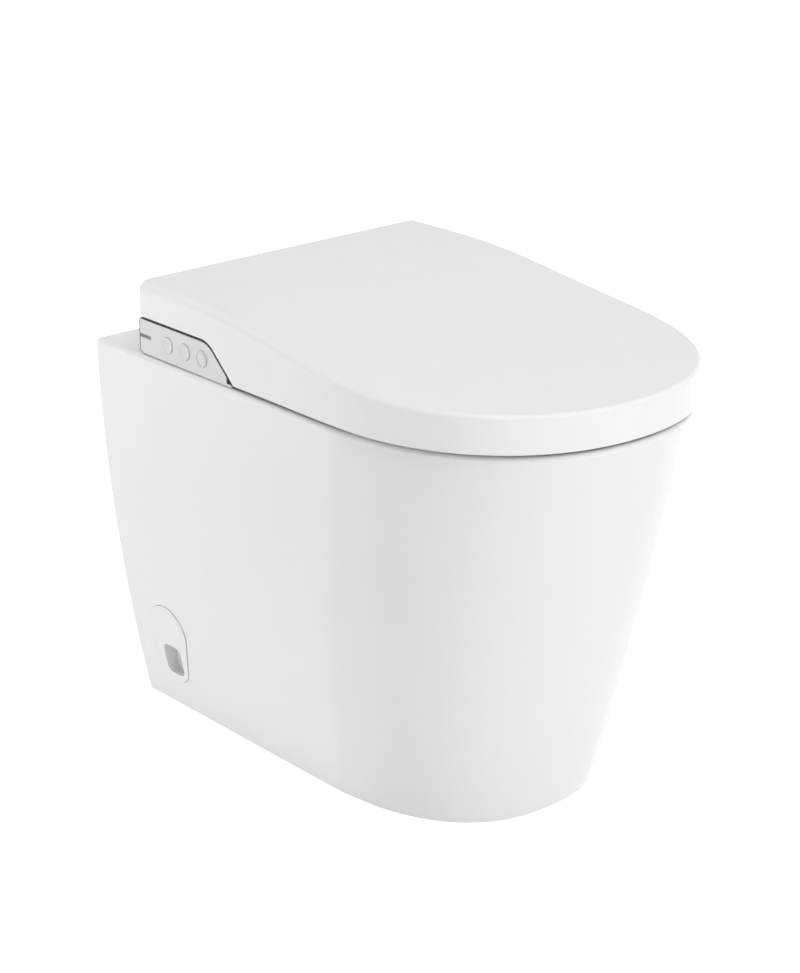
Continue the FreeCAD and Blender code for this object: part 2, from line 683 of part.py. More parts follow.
def flush_pump_housing():
    """Volute of the flush pump with its inlet elbow and outlet."""
    volute = rod_z(PUMP_LOW, PUMP_HIGH, PUMP_X, PUMP_DEPTH, PUMP_RADIUS)
    elbow = rod_x(TANK_X1 - TANK_WALL, PUMP_X, PUMP_DEPTH, PUMP_INLET_Z, FLUSH_HOSE_RADIUS)
    riser = rod_z(PUMP_INLET_Z - 9, PUMP_LOW + OVER, PUMP_X, PUMP_DEPTH, FLUSH_HOSE_RADIUS)
    outlet = rod_y(PUMP_DEPTH, FLUSH_OUTLET_DEPTH, FLUSH_OUTLET_X, FLUSH_OUTLET_Z, FLUSH_HOSE_RADIUS)
    foot = block(PUMP_X - 14, PUMP_X + 14, PUMP_DEPTH - 14, PUMP_DEPTH + 14, FRAME_Z + FRAME_PLATE, 272)
    body = volute.fuse([elbow, riser, outlet, foot])
    chamber = rod_z(PUMP_LOW + PUMP_WALL, PUMP_HIGH - PUMP_WALL, PUMP_X, PUMP_DEPTH, PUMP_RADIUS - PUMP_WALL)
    inlet = rod_x(TANK_X1 - 4, PUMP_X, PUMP_DEPTH, PUMP_INLET_Z, FLUSH_HOSE_BORE)
    rise = rod_z(PUMP_INLET_Z - 5, PUMP_LOW + 4, PUMP_X, PUMP_DEPTH, FLUSH_HOSE_BORE)
    exit_bore = rod_y(PUMP_DEPTH, FLUSH_OUTLET_DEPTH + OVER, FLUSH_OUTLET_X, FLUSH_OUTLET_Z, FLUSH_HOSE_BORE)
    shaft_hole = rod_z(PUMP_HIGH - 4, PUMP_HIGH + OVER, PUMP_X, PUMP_DEPTH, PUMP_SHAFT + PIN_CLEARANCE)
    return body.cut([chamber, inlet, rise, exit_bore, shaft_hole])


def impeller(x, depth, low, high, hub, radius, blades, lean, shaft, shaft_to):
    """Disc with slanted blades on its shaft, on an upright axis."""
    disc = rod_z(low, low + 1.6, x, depth, radius)
    core = rod_z(low, high, x, depth, hub)
    vanes = []
    for i in range(blades):
        vane = Part.makeBox(radius - hub - 1.5, 1.2, high - low - 1, V(hub, -0.6, low + 1))
        vane.rotate(V(hub, 0, low), V(0, 0, 1), lean)
        vane.rotate(V(0, 0, 0), V(0, 0, 1), 360.0 * i / blades)
        vane.translate(V(x, y_at(depth), 0))
        vanes.append(vane)
    axle = rod_z(low, shaft_to, x, depth, shaft)
    wheel = core.fuse([disc, axle] + vanes)
    return wheel.common(rod_z(low - 1, shaft_to + 1, x, depth, radius))


def flush_pump_impeller():
    """Impeller of the flush pump, on the motor's shaft."""
    return impeller(PUMP_X, PUMP_DEPTH, PUMP_LOW + 4, PUMP_HIGH - 4.5, 8, PUMP_RADIUS - 6, 6, 28,
                    PUMP_SHAFT, PUMP_HIGH + 8)


def flush_pump_motor():
    """Motor on top of the flush pump."""
    top = PUMP_HIGH + PUMP_MOTOR_LENGTH
    can = rod_z(PUMP_HIGH, top, PUMP_X, PUMP_DEPTH, PUMP_MOTOR_RADIUS)
    boss = rod_z(top, top + 6, PUMP_X, PUMP_DEPTH, 12)
    socket = rod_z(PUMP_HIGH - OVER, PUMP_HIGH + 10, PUMP_X, PUMP_DEPTH, PUMP_SHAFT + PIN_CLEARANCE)
    return can.fuse(boss).cut(socket)


def flush_hose():
    """Hose from the flush pump to the spreader at the back of the bowl."""
    x = FLUSH_OUTLET_X
    turn = FLUSH_HOSE_DEPTH
    route = bent_route([(x, FLUSH_OUTLET_DEPTH, FLUSH_OUTLET_Z), (x, turn, FLUSH_OUTLET_Z),
                        (x, turn, SPREADER_HEIGHT), (0, turn, SPREADER_HEIGHT),
                        (0, SPREADER_FROM, SPREADER_HEIGHT)], [20, 22, 18])
    return tube(route, FLUSH_HOSE_RADIUS, FLUSH_HOSE_BORE)


def flush_spreader():
    """Spreader that throws the flush round the rimless bowl."""
    stem = rod_y(SPREADER_FROM, SPREADER_FACE + 1.5, 0, SPREADER_HEIGHT, SPREADER_STEM)
    head = block(-SPREADER_HALF, SPREADER_HALF, SPREADER_FACE, SPREADER_END,
                 SPREADER_HEIGHT - 14, SPREADER_HEIGHT + 12)
    edges = [e for e in head.Edges if abs(e.tangentAt(0).y) > 0.9]
    head = head.makeFillet(SPREADER_CORNER, edges)
    slots = [block(x, x + 30, SPREADER_FACE + 2.5, SPREADER_END - 2.5, SPREADER_HEIGHT - 6,
                   SPREADER_HEIGHT + 3) for x in (-31, 1)]
    bore = rod_y(SPREADER_FROM - 6, SPREADER_FACE + 5.5, 0, SPREADER_HEIGHT, SPREADER_BORE)
    return stem.fuse(head).cut([bore] + slots)


# ---------------------------------------------------------------- lid

def lid_side_points(inset, z):
    """Points along the lid's straight +X side, from the back to where its round front starts."""
    points = []
    for i in range(SIDE_POINTS):
        share = i / SIDE_POINTS
        half = LID_HALF_REAR + (LID_HALF - LID_HALF_REAR) * share - inset
        points.append(V(half, y_at(LID_REAR + inset + (LID_START - LID_REAR - inset) * share), z))
    return points


def lid_prism(inset, z0, z1):
    """Upright prism on the lid's plan outline, drawn in by an inset: one smooth curve and a straight back."""
    side = lid_side_points(inset, z0)
    front = power_points(LID_HALF - inset, LID_START, LID_REACH - inset, LID_POWER, z0)
    other_side = [V(-p.x, p.y, p.z) for p in reversed(side)]
    curve = Part.BSplineCurve()
    curve.interpolate(side + front + other_side)
    back = Part.makeLine(other_side[-1], side[0])
    return Part.Face(Part.Wire([back, curve.toShape()])).extrude(V(0, 0, z1 - z0))


def below_lid_top(drop):
    """Everything under the lid's S-shaped top line, lowered by a drop."""
    curve = Part.BSplineCurve()
    points = [V(-210, y_at(d), z - drop) for d, z in LID_TOP]
    start = points[0] + V(0, 20, 0.2)
    end = points[-1] + V(0, -15, -0.1)
    curve.interpolate([start] + points + [end])
    edges = [
        curve.toShape(),
        Part.makeLine(end, V(-210, end.y, 380)),
        Part.makeLine(V(-210, end.y, 380), V(-210, start.y, 380)),
        Part.makeLine(V(-210, start.y, 380), start),
    ]
    return Part.Face(Part.Wire(edges)).extrude(V(420, 0, 0))


def panel_prism(offset, x0, x1):
    """Prism on a side panel's outline, grown by an offset past its top and slanted edges."""
    slope = math.radians(PANEL_SLOPE)
    tip_depth = PANEL_TIP[0] + offset * math.sin(slope)
    tip_height = PANEL_TIP[1] + offset * math.cos(slope)
    top = PANEL_TOP + offset
    knee = tip_depth - (top - tip_height) / math.tan(slope)
    low = LID_BOTTOM - 30
    foot = tip_depth + (tip_height - low) / math.tan(slope)
    prism = side_prism([(40, low), (40, top), (knee, top), (foot, low)], x0, x1)
    edges = [e for e in prism.Edges if abs(e.tangentAt(0).x) > 0.9
             and abs(e.BoundBox.ZMin - top) < 0.01 and e.BoundBox.YMax < y_at(100)]
    return prism.makeFillet(PANEL_KNEE + offset, edges)


def lid_half(inset, low, soft_rear, soft_front):
    """+X half of the lid's outer form, or of its hollow, with a top edge that is softer at the back."""
    body = lid_prism(inset, low, 520).common(below_lid_top(inset))
    half = body.common(block(0, 220, 40, 620, low - 5, 520))
    side_edge = [e for e in half.Edges if e.BoundBox.ZMin > 450 and e.BoundBox.XMin < 1
                 and e.BoundBox.XMax > LID_HALF - inset - 1]
    return half.makeFillet(soft_rear, soft_front, side_edge)


def lid_shell():
    """Outer lid: S-shaped top, upright skirt round the seat, hinge ears, and room for the side panels."""
    outer = lid_half(0, LID_BOTTOM, LID_SOFT_REAR, LID_SOFT_FRONT)
    back = [e for e in outer.Edges if e.BoundBox.YMin > y_at(LID_REAR) - 0.01 and e.BoundBox.XMax > 5
            and e.BoundBox.ZMax > LID_BOTTOM + 1]
    outer = outer.makeFillet(LID_CORNER, back)
    outer = outer.fuse(mirrored(outer)).removeSplitter()
    inner = lid_half(LID_WALL, LID_BOTTOM - 20, LID_SOFT_REAR - LID_WALL, LID_SOFT_INSIDE)
    shell = outer.cut(inner.fuse(mirrored(inner)).removeSplitter())
    shell = shell.cut(panel_prism(PANEL_GAP, -210, 210))
    barrel = rod_x(EAR_IN, EAR_OUT, HINGE_DEPTH, HINGE_HEIGHT, BARREL_RADIUS)
    web = block(EAR_IN, EAR_OUT, HINGE_DEPTH - 6.3, HINGE_DEPTH + BARREL_RADIUS, HINGE_HEIGHT, 496)
    ear = barrel.fuse(web).common(below_lid_top(1.5))
    ear = ear.cut(rod_x(EAR_IN - 1, EAR_OUT + 1, HINGE_DEPTH, HINGE_HEIGHT, PIN_RADIUS + PIN_CLEARANCE))
    return shell.fuse([ear, mirrored(ear)])


def lid_inner_panel():
    """Panel that closes the lid's underside over the seat."""
    fit = LID_WALL + 0.05
    plate = lid_prism(fit, LINER_LOW, LINER_LOW + LINER_THICK)
    plate = plate.cut(block(-200, 200, 0, LINER_FROM, 400, 520))
    half = lid_half(fit, LINER_LOW, LID_SOFT_REAR - fit, LID_SOFT_INSIDE)
    slab = block(-200, 200, LINER_FROM, LINER_FROM + LINER_THICK, 400, 520)
    upstand = half.fuse(mirrored(half)).common(slab)
    return plate.fuse(upstand).removeSplitter()


def lid_buffers():
    """Four rubber pads between the lid and the seat."""
    pads = [(sx * x, d) for x, d in ((150, 300), (90, 560)) for sx in (-1, 1)]
    return Part.makeCompound([rod_z(SEAT_TOP + 0.1, LINER_LOW, x, d, 7) for x, d in pads])


# ---------------------------------------------------------------- heated seat

def seat_prism(inset, z0, z1):
    """Upright prism on the seat's ring, drawn in all round by an inset."""
    wire = plan_wire(SEAT_HALF - inset, SEAT_HALF - inset, SEAT_FROM + inset, SEAT_START,
                     SEAT_REACH - inset, LID_POWER, z0)
    ring = round_upright(Part.Face(wire).extrude(V(0, 0, z1 - z0)), SEAT_CORNER)
    hole = egg_wire(HOLE_HALF + inset, HOLE_NEAR - inset, HOLE_FAR + inset, z0 - 1)
    return ring.cut(Part.Face(hole).extrude(V(0, 0, z1 - z0 + 2)))


def seat_tunnel(grow=0.0):
    """Space under the back of the seat for the wash nozzles and the dryer's air."""
    return block(-TUNNEL_HALF - grow, TUNNEL_HALF + grow, 225, 275, SEAT_BASE - 10, TUNNEL_TOP + grow)


def seat_top_shell():
    """Upper seat shell with rounded edges, hollow below for the heater."""
    ring = seat_prism(0, SEAT_SPLIT, SEAT_TOP)
    edges = [e for e in ring.Edges if e.BoundBox.ZMin > SEAT_TOP - 0.01]
    ring = ring.makeFillet(SEAT_ROUND, edges)
    hollow = seat_prism(SEAT_WALL, SEAT_SPLIT - 1, SEAT_TOP - SEAT_WALL).cut(seat_tunnel(SEAT_WALL))
    return ring.cut(hollow).cut(seat_tunnel())


def seat_bottom_shell():
    """Lower seat shell with the hinge arms."""
    ring = seat_prism(0, SEAT_BASE, SEAT_SPLIT)
    ring = ring.cut(seat_prism(SEAT_WALL, SEAT_BASE + SEAT_WALL, SEAT_SPLIT + 1))
    ring = ring.cut(seat_tunnel())
    barrel = rod_x(ARM_IN, ARM_OUT, HINGE_DEPTH, HINGE_HEIGHT, BARREL_RADIUS)
    beam = side_prism([(HINGE_DEPTH, HINGE_HEIGHT - 9), (HINGE_DEPTH, HINGE_HEIGHT + 9), (200, 443),
                       (229, SEAT_SPLIT), (250, SEAT_SPLIT), (250, SEAT_BASE), (200, SEAT_BASE)],
                      ARM_IN, ARM_OUT)
    arm = barrel.fuse(beam)
    arm = arm.cut(rod_x(ARM_IN - 1, ARM_OUT + 1, HINGE_DEPTH, HINGE_HEIGHT, PIN_RADIUS + PIN_CLEARANCE))
    return ring.fuse([arm, mirrored(arm)])


def seat_heater():
    """Heating foil under the seat's top surface."""
    foil = seat_prism(SEAT_WALL + 6, SEAT_TOP - SEAT_WALL - 1.0, SEAT_TOP - SEAT_WALL)
    return foil.cut(block(-200, 200, 200, 282, 400, 460))


def seat_buffers():
    """Four rubber pads between the seat and the china rim."""
    places = [(sx * x, d) for x, d in ((152, 290), (84, 566)) for sx in (-1, 1)]
    return Part.makeCompound([rod_z(PAN_HEIGHT + 0.1, SEAT_BASE, x, d, 7) for x, d in places])


# ---------------------------------------------------------------- seat unit: tray, cover, panels, hinge

def base_tray():
    """Tray that carries everything in the seat unit."""
    plate = block(-UNIT_HALF, UNIT_HALF, TRAY_FROM, TRAY_TO, TRAY_BOTTOM, TRAY_TOP)
    lip = block(-158.5, 158.5, 80, 217.5, TRAY_TOP - 1, TRAY_TOP + 4)
    lip = lip.cut(block(-156.5, 156.5, 82, 215.5, TRAY_TOP - 2, TRAY_TOP + 5))
    mouth = block(-MOUTH_HALF - 1, MOUTH_HALF + 1, MOUTH_FROM, TRAY_TO + 1, TRAY_BOTTOM - 1, TRAY_TOP + 5)
    hose = rod_z(TRAY_BOTTOM - 1, TRAY_TOP + 1, VALVE_X, HOSE_DEPTH, 4.6)
    hooks = block(STRAP_X - 1, UNIT_HALF + 1, 116, 152, TRAY_BOTTOM - 1, PAN_HEIGHT + 1.8)
    bolts = [rod_z(TRAY_BOTTOM - 1, TRAY_TOP + 1, x, BOLT_DEPTH, 4.1) for x in (-BOLT_X, BOLT_X)]
    drain = block(OUTLET_X0, OUTLET_X1, 217.5, TRAY_TO + 1, TRAY_TOP - 1, TRAY_TOP + 5)
    tray = plate.fuse(lip).cut([mouth, hose, hooks, mirrored(hooks), drain] + bolts)
    apron = block(1 - NOTCH_HALF, NOTCH_HALF - 1, APRON_DEPTH - APRON_THICK, APRON_DEPTH,
                  NOTCH_FLOOR + 0.5, TRAY_BOTTOM + 0.2)
    return tray.fuse(apron)


def mounting_bolts():
    """Two bolts with nuts that clamp the tray to the deck."""
    group = []
    for x in (-BOLT_X, BOLT_X):
        head = rod_z(TRAY_TOP, TRAY_TOP + 4.5, x, BOLT_DEPTH, 5.4)
        shank = rod_z(387, TRAY_TOP + 1, x, BOLT_DEPTH, 4.0)
        slot = block(x - 4, x + 4, BOLT_DEPTH - 0.7, BOLT_DEPTH + 0.7, TRAY_TOP + 3, TRAY_TOP + 5)
        group.append(head.fuse(shank).cut(slot))
        nut = rod_z(392, PAN_HEIGHT - DECK_THICKNESS, x, BOLT_DEPTH, 10)
        group.append(nut.cut(rod_z(380, 410, x, BOLT_DEPTH, 4.0)))
    return Part.makeCompound(group)


def unit_housing():
    """Cover of the seat unit, with a slanted front and mouths for the nozzles and the dryer."""
    cover = side_prism(UNIT_PROFILE, -UNIT_HALF, UNIT_HALF)
    edges = [e for e in cover.Edges if abs(e.tangentAt(0).x) > 0.9 and e.BoundBox.ZMin > 470]
    cover = cover.makeFillet(3, edges)
    ends = [e for e in cover.Edges if e.BoundBox.XLength < 0.01 and e.BoundBox.ZMax > FRONT_LOW + 1]
    cover = cover.makeFillet(UNIT_SOFT, ends)
    inner = Part.Face(Part.makePolygon([V(-159.5, y_at(d), z) for d, z in UNIT_INSIDE]))
    inner = inner.extrude(V(319, 0, 0))
    pins = rod_x(-170, 170, HINGE_DEPTH, HINGE_HEIGHT, PIN_RADIUS + 0.3)
    mouth = block(-MOUTH_HALF, MOUTH_HALF, 200, 230, 420, MOUTH_TOP)
    outlet = flap_space(0.5)
    lens = front_place(block(-24.2, 24.2, -0.1 + 300, 1.2 + 300, 33.8, 46.2))
    return cover.cut([inner, pins, mouth, outlet, lens])


def front_place(shape):
    """Lays a shape built at the wall plane against the slanted front of the unit's cover."""
    placed = shape.copy()
    placed.rotate(V(0, 0, 0), V(1, 0, 0), -FRONT_LEAN)
    placed.translate(V(0, y_at(FRONT_DEPTH), FRONT_LOW))
    return placed


def flap_space(gap):
    """Opening of the dryer in the slanted front."""
    return front_place(block(OUTLET_X0 - gap, OUTLET_X1 + gap, 290, 306, FLAP_LOW - gap, FLAP_HIGH + gap))


def dryer_flap():
    """Flap over the dryer's outlet, on two small pins at its top."""
    plate = block(OUTLET_X0, OUTLET_X1, 300.4, 302.0, FLAP_LOW, FLAP_HINGE + 0.8)
    pins = rod_x(OUTLET_X0 - 1.6, OUTLET_X1 + 1.6, 301.2, FLAP_HINGE, 0.8)
    return front_place(plate.fuse(pins))


def user_sensor_window():
    """Dark window of the sensor that sees the seated person."""
    window = block(-24, 24, 300.0, 301.1, 34, 46)
    edges = [e for e in window.Edges if abs(e.tangentAt(0).y) > 0.9]
    return front_place(window.makeFillet(2, edges))


def hinge_pins():
    """Two steel pins on the common hinge line."""
    return both_sides(rod_x(PIN_INNER, PIN_OUTER, HINGE_DEPTH, HINGE_HEIGHT, PIN_RADIUS))


def damper(side):
    """Soft-close damper round the inner end of a hinge pin."""
    can = rod_x(PIN_INNER + 6, UNIT_HALF - UNIT_WALL - 0.5, HINGE_DEPTH + 4, HINGE_HEIGHT, 8.4)
    nose = rod_x(PIN_INNER, PIN_INNER + 6, HINGE_DEPTH, HINGE_HEIGHT, 5.5)
    foot = block(PIN_INNER + 14, PIN_INNER + 40, HINGE_DEPTH, HINGE_DEPTH + 10, TRAY_TOP, HINGE_HEIGHT - 5)
    body = can.fuse([nose, foot])
    body = body.cut(rod_x(PIN_INNER - 1, UNIT_HALF, HINGE_DEPTH, HINGE_HEIGHT, PIN_RADIUS))
    return body if side > 0 else mirrored(body)


def panel_skin(z0, z1, outset, thick):
    """Upright skin in the plane of the lid's side walls."""
    return lid_prism(outset, z0, z1).cut(lid_prism(outset + thick, z0 - 1, z1 + 1))


def button_holes():
    """Round holes for the three buttons, on the +X side."""
    return [rod_x(180, 200, d, BUTTON_HEIGHT, BUTTON_RADIUS + BUTTON_GAP) for d in BUTTON_DEPTHS.values()]


def side_panel(side):
    """Fixed side panel below the lid, with its bottom flange; the -X one has the buttons."""
    skin = panel_skin(PANEL_LOW, 470, 0, PANEL_WALL).common(block(PIN_OUTER + 0.2, 200, 60, 400, 400, 500))
    field = block(180, 200, LID_REAR, PANEL_END, PANEL_LOW, 500)
    corner = [e for e in field.Edges if abs(e.tangentAt(0).x) > 0.9 and e.BoundBox.YMin > y_at(LID_REAR + 1)
              and e.BoundBox.ZMax < PANEL_LOW + 1]
    plate = skin.common(panel_prism(0, 180, 200)).common(field.makeFillet(PANEL_CORNER, corner))
    foot = skin.common(block(180, 200, LID_REAR + PANEL_CORNER, FLANGE_END, PANEL_LOW, FLANGE_TOP))
    flange = block(FLANGE_IN, 188.2, LID_REAR + 0.3, FLANGE_END, PANEL_LOW, FLANGE_TOP)
    panel = plate.fuse([foot, flange])
    if side > 0:
        return panel
    depths = sorted(BUTTON_DEPTHS.values())
    between = [(depths[0] + depths[1]) / 2, (depths[1] + depths[2]) / 2]
    posts = [rod_x(BOARD_OUTER, 189, d, BUTTON_HEIGHT - 9.5, 2.2) for d in between]
    slot = block(SLOT_DEEP, 195, LID_REAR - 1, SLOT_END, SLOT_LOW, SLOT_HIGH)
    return mirrored(panel.fuse(posts).cut(button_holes() + [slot]))


def panel_trim(side):
    """Black trim strip along the panel's top and slanted edge."""
    behind_tip = block(170, 210, 40, PANEL_END + 0.1, 380, 480)
    strip = panel_prism(TRIM_THICK, 180, 200).cut(panel_prism(0, 170, 210).common(behind_tip))
    strip = strip.common(panel_skin(400, 480, TRIM_INSET, PANEL_WALL))
    inner_x = LID_HALF_REAR - TRIM_INSET - PANEL_WALL
    trim = strip.common(block(inner_x, 200, LID_REAR + 0.3, 250, TRIM_LOW, 480))
    lid_swing = rod_x(180, 200, HINGE_DEPTH, HINGE_HEIGHT, TRIM_SWING)
    trim = trim.cut(block(180, 200, 70, HINGE_DEPTH, HINGE_HEIGHT, 480).cut(lid_swing))
    return trim if side > 0 else mirrored(trim)


def status_lens():
    """Dark indicator strip let into the control side panel."""
    lens = block(SLOT_DEEP, SLOT_DEEP + 1, LID_REAR + 0.2, SLOT_END - 0.1, SLOT_LOW + 0.1, SLOT_HIGH - 0.1)
    return mirrored(lens)


def panel_face_x(depth):
    """X of the side panel's outer face at a depth, on the +X side."""
    return LID_HALF_REAR + (LID_HALF - LID_HALF_REAR) * (depth - LID_REAR) / (LID_START - LID_REAR)


def push_button(name):
    """Round push button with a flange that keeps it in the panel."""
    depth = BUTTON_DEPTHS[name]
    face = panel_face_x(depth)
    cap = rod_x(face - PANEL_WALL - 1, face + BUTTON_PROUD, depth, BUTTON_HEIGHT, BUTTON_RADIUS)
    rim = [e for e in cap.Edges if e.BoundBox.XMin > face]
    cap = cap.makeFillet(BUTTON_EDGE, rim)
    flange = rod_x(face - PANEL_WALL - 1.4, face - PANEL_WALL - 0.3, depth, BUTTON_HEIGHT, BUTTON_FLANGE)
    stem = rod_x(BUTTON_STEM_END, face - PANEL_WALL - 1, depth, BUTTON_HEIGHT, BUTTON_STEM)
    return mirrored(cap.fuse([flange, stem]))


def button_board():
    """Small circuit board with a tact switch behind each button."""
    board = block(BOARD_OUTER - BOARD_THICK, BOARD_OUTER, 112, 193, 428.5, 451.5)
    pieces = []
    for depth in BUTTON_DEPTHS.values():
        pieces.append(block(BOARD_OUTER, BOARD_OUTER + 1.6, depth - 3, depth + 3, BUTTON_HEIGHT - 3,
                            BUTTON_HEIGHT + 3))
        pieces.append(rod_x(BOARD_OUTER + 1, SWITCH_TOP, depth, BUTTON_HEIGHT, 1.7))
    return mirrored(board.fuse(pieces))


# ---------------------------------------------------------------- wash works

def nozzle_place(shape):
    """Tilts a shape built along +Y from the origin and puts it at the nozzle tips' rest place."""
    placed = shape.copy()
    placed.rotate(V(0, 0, 0), V(1, 0, 0), NOZZLE_TILT)
    placed.translate(V(0, y_at(NOZZLE_TIP_DEPTH), NOZZLE_TIP_HEIGHT))
    return placed


def rack_tooth(x, along):
    """One rack tooth, across X, at a distance behind the tip."""
    slant = math.tan(math.radians(20))
    half_pitch_line = math.pi * GEAR_MODULE / 4 - TOOTH_SLACK
    low = RACK_PITCH_LINE - 1.3 * GEAR_MODULE
    high = RACK_PITCH_LINE + 0.75 * GEAR_MODULE
    wide = half_pitch_line + 1.3 * GEAR_MODULE * slant
    narrow = half_pitch_line - 0.75 * GEAR_MODULE * slant
    corners = [V(x - 2.5, along - wide, low), V(x - 2.5, along - narrow, high),
               V(x - 2.5, along + narrow, high), V(x - 2.5, along + wide, low)]
    return Part.Face(Part.makePolygon(corners + corners[:1])).extrude(V(5, 0, 0))


def nozzle_arm(x):
    """Wash nozzle: round arm with a domed tip, spray holes and a rack on its back."""
    bar = Part.makeCylinder(NOZZLE_RADIUS, NOZZLE_LENGTH - NOZZLE_RADIUS, V(x, NOZZLE_RADIUS, 0), V(0, 1, 0))
    dome = Part.makeSphere(NOZZLE_RADIUS, V(x, NOZZLE_RADIUS, 0))
    base = Part.makeBox(5, RACK_TEETH * math.pi * GEAR_MODULE, 5, V(x - 2.5, 20.0, 2.5))
    pitch = math.pi * GEAR_MODULE
    teeth = [rack_tooth(x, GEAR_AT + (k - 1.5) * pitch) for k in range(RACK_TEETH - 1)]
    arm = bar.fuse([dome, base] + teeth)
    flat = Part.makeBox(16, 17, 5, V(x - 8, -1, 6.2))
    channel = Part.makeCylinder(NOZZLE_BORE, NOZZLE_LENGTH, V(x, 6, 0), V(0, 1, 0))
    holes = [Part.makeCylinder(0.7, 10, V(x + dx, along, 1), V(0, 0, 1))
             for dx, along in ((-1.6, 9), (1.6, 9), (0, 11.5))]
    return nozzle_place(arm.cut([flat, channel] + holes))


def nozzle_pinion(x):
    """Pinion that drives one nozzle's rack."""
    pitch_radius = GEAR_TEETH * GEAR_MODULE / 2
    base_radius = pitch_radius * math.cos(math.radians(20))
    half_angle = (math.pi * GEAR_MODULE / 4 - TOOTH_SLACK) / pitch_radius
    profile = [(4.75, half_angle + 0.015), (base_radius, half_angle + 0.015), (pitch_radius, half_angle),
               (6.5, half_angle - 0.035), (6.9, half_angle - 0.078)]
    points = []
    for tooth in range(GEAR_TEETH):
        middle = -math.pi / 2 + 2 * math.pi * tooth / GEAR_TEETH
        sides = [(r, middle - a) for r, a in profile] + [(r, middle + a) for r, a in reversed(profile)]
        points += [V(0, r * math.cos(a), r * math.sin(a)) for r, a in sides]
    wheel = Part.Face(Part.makePolygon(points + points[:1])).extrude(V(4.4, 0, 0))
    wheel.translate(V(x - 2.2, GEAR_AT, RACK_PITCH_LINE + pitch_radius))
    outward = 1 if x > 0 else -1
    axle = Part.makeCylinder(1.5, 14, V(x, GEAR_AT, RACK_PITCH_LINE + pitch_radius), V(outward, 0, 0))
    return nozzle_place(wheel.fuse(axle))


def nozzle_motors():
    """Two stepper motors, one outside each pinion."""
    height = RACK_PITCH_LINE + GEAR_TEETH * GEAR_MODULE / 2
    can = Part.makeCylinder(9, 14, V(22.5, GEAR_AT, height), V(1, 0, 0))
    ears = Part.makeBox(1.2, 24, 5, V(22.5, GEAR_AT - 9, height - 2.5))
    motor = can.fuse(ears)
    motor = motor.cut(Part.makeCylinder(1.55, 3, V(21.5, GEAR_AT, height), V(1, 0, 0)))
    return nozzle_place(both_sides(motor))


def nozzle_housing():
    """Guide block for both nozzles, slotted for their racks, with cheeks that hold the motors."""
    body = Part.makeBox(42, 112, 20.5, V(-21, 8, -10))
    bores = []
    for x in (-NOZZLE_X, NOZZLE_X):
        bores.append(Part.makeCylinder(NOZZLE_RADIUS + NOZZLE_CLEARANCE, 140, V(x, -5, 0), V(0, 1, 0)))
        bores.append(Part.makeBox(7, 140, 20, V(x - 3.5, -5, 0)))
    cheek = Part.makeBox(2.4, 20, 13, V(18.6, GEAR_AT - 5, 8))
    hole = Part.makeCylinder(1.55, 60, V(-30, GEAR_AT, RACK_PITCH_LINE + GEAR_TEETH / 2), V(1, 0, 0))
    window = Part.makeBox(16, 20, 14, V(-8, GEAR_AT - 10, 2))
    return nozzle_place(body.fuse([cheek, mirrored(cheek)]).cut(bores + [hole, window]))


def wash_valve():
    """Valve that meters water to the wash works."""
    body = round_upright(block(-154, -124, 98, 128, 427, 448), 3)
    coil = rod_z(448, 460, -139, 116, 9)
    return body.fuse(coil)


def wash_pump():
    """Small motor pump for the wash water."""
    head = rod_y(136, 156, -134, 444, 14)
    can = rod_y(156, 194, -134, 444, 12)
    foot = block(-142, -126, 140, 190, TRAY_TOP, 434)
    return head.fuse([can, foot])


def water_heater():
    """Flow heater for the wash water, with end caps and ribs."""
    core = block(-102, -46, 118, 192, 429, 455)
    caps = [block(-105, -43, d, d + 6, 427, 457) for d in (112, 192)]
    feet = [block(-96, -88, d, d + 8, TRAY_TOP, 430) for d in (126, 178)]
    feet += [block(-60, -52, d, d + 8, TRAY_TOP, 430) for d in (126, 178)]
    grooves = [block(-103, -45, d, d + 3, 453, 456) for d in range(126, 188, 10)]
    return core.cut(grooves).fuse(caps + feet)


def wash_hoses():
    """Water hoses: supply from the inlet valve, valve to pump, and pump to heater."""
    supply = bent_route([(VALVE_X, 82, 368), (VALVE_X, 82, 392), (VALVE_X, HOSE_DEPTH, 392),
                         (VALVE_X, HOSE_DEPTH, 427)], [10, 12])
    to_pump = bent_route([(-134, 128, 440), (-134, 136, 440)], [])
    to_heater = bent_route([(-119.9, 146, 444), (-105, 146, 444)], [])
    return Part.makeCompound([tube(supply, 4, 2.5), tube(to_pump, 3.5, 2), tube(to_heater, 3.5, 2)])


# ---------------------------------------------------------------- air works and electronics

def dryer_housing():
    """Volute of the warm-air dryer with its duct to the front."""
    volute = rod_z(DRYER_LOW, DRYER_HIGH, DRYER_X, DRYER_DEPTH, DRYER_RADIUS)
    duct = block(OUTLET_X0, OUTLET_X1, DRYER_DEPTH, 208, DRYER_LOW, DRYER_LOW + 22)
    feet = [rod_z(TRAY_TOP, DRYER_LOW + 1, DRYER_X + dx, DRYER_DEPTH, 5) for dx in (-22, 22)]
    body = volute.fuse([duct] + feet)
    room = rod_z(DRYER_LOW + 2, DRYER_HIGH - 2, DRYER_X, DRYER_DEPTH, DRYER_RADIUS - 2)
    way = block(OUTLET_X0 + 2, OUTLET_X1 - 2, DRYER_DEPTH, 210, DRYER_LOW + 2, DRYER_LOW + 20)
    intake = rod_z(DRYER_HIGH - 3, DRYER_HIGH + 1, DRYER_X, DRYER_DEPTH, 15)
    return body.cut([room, way, intake])


def dryer_impeller():
    """Blower wheel of the dryer."""
    return impeller(DRYER_X, DRYER_DEPTH, DRYER_LOW + 4, DRYER_HIGH - 5, 12, 27, 18, 35, 2, DRYER_HIGH - 3)


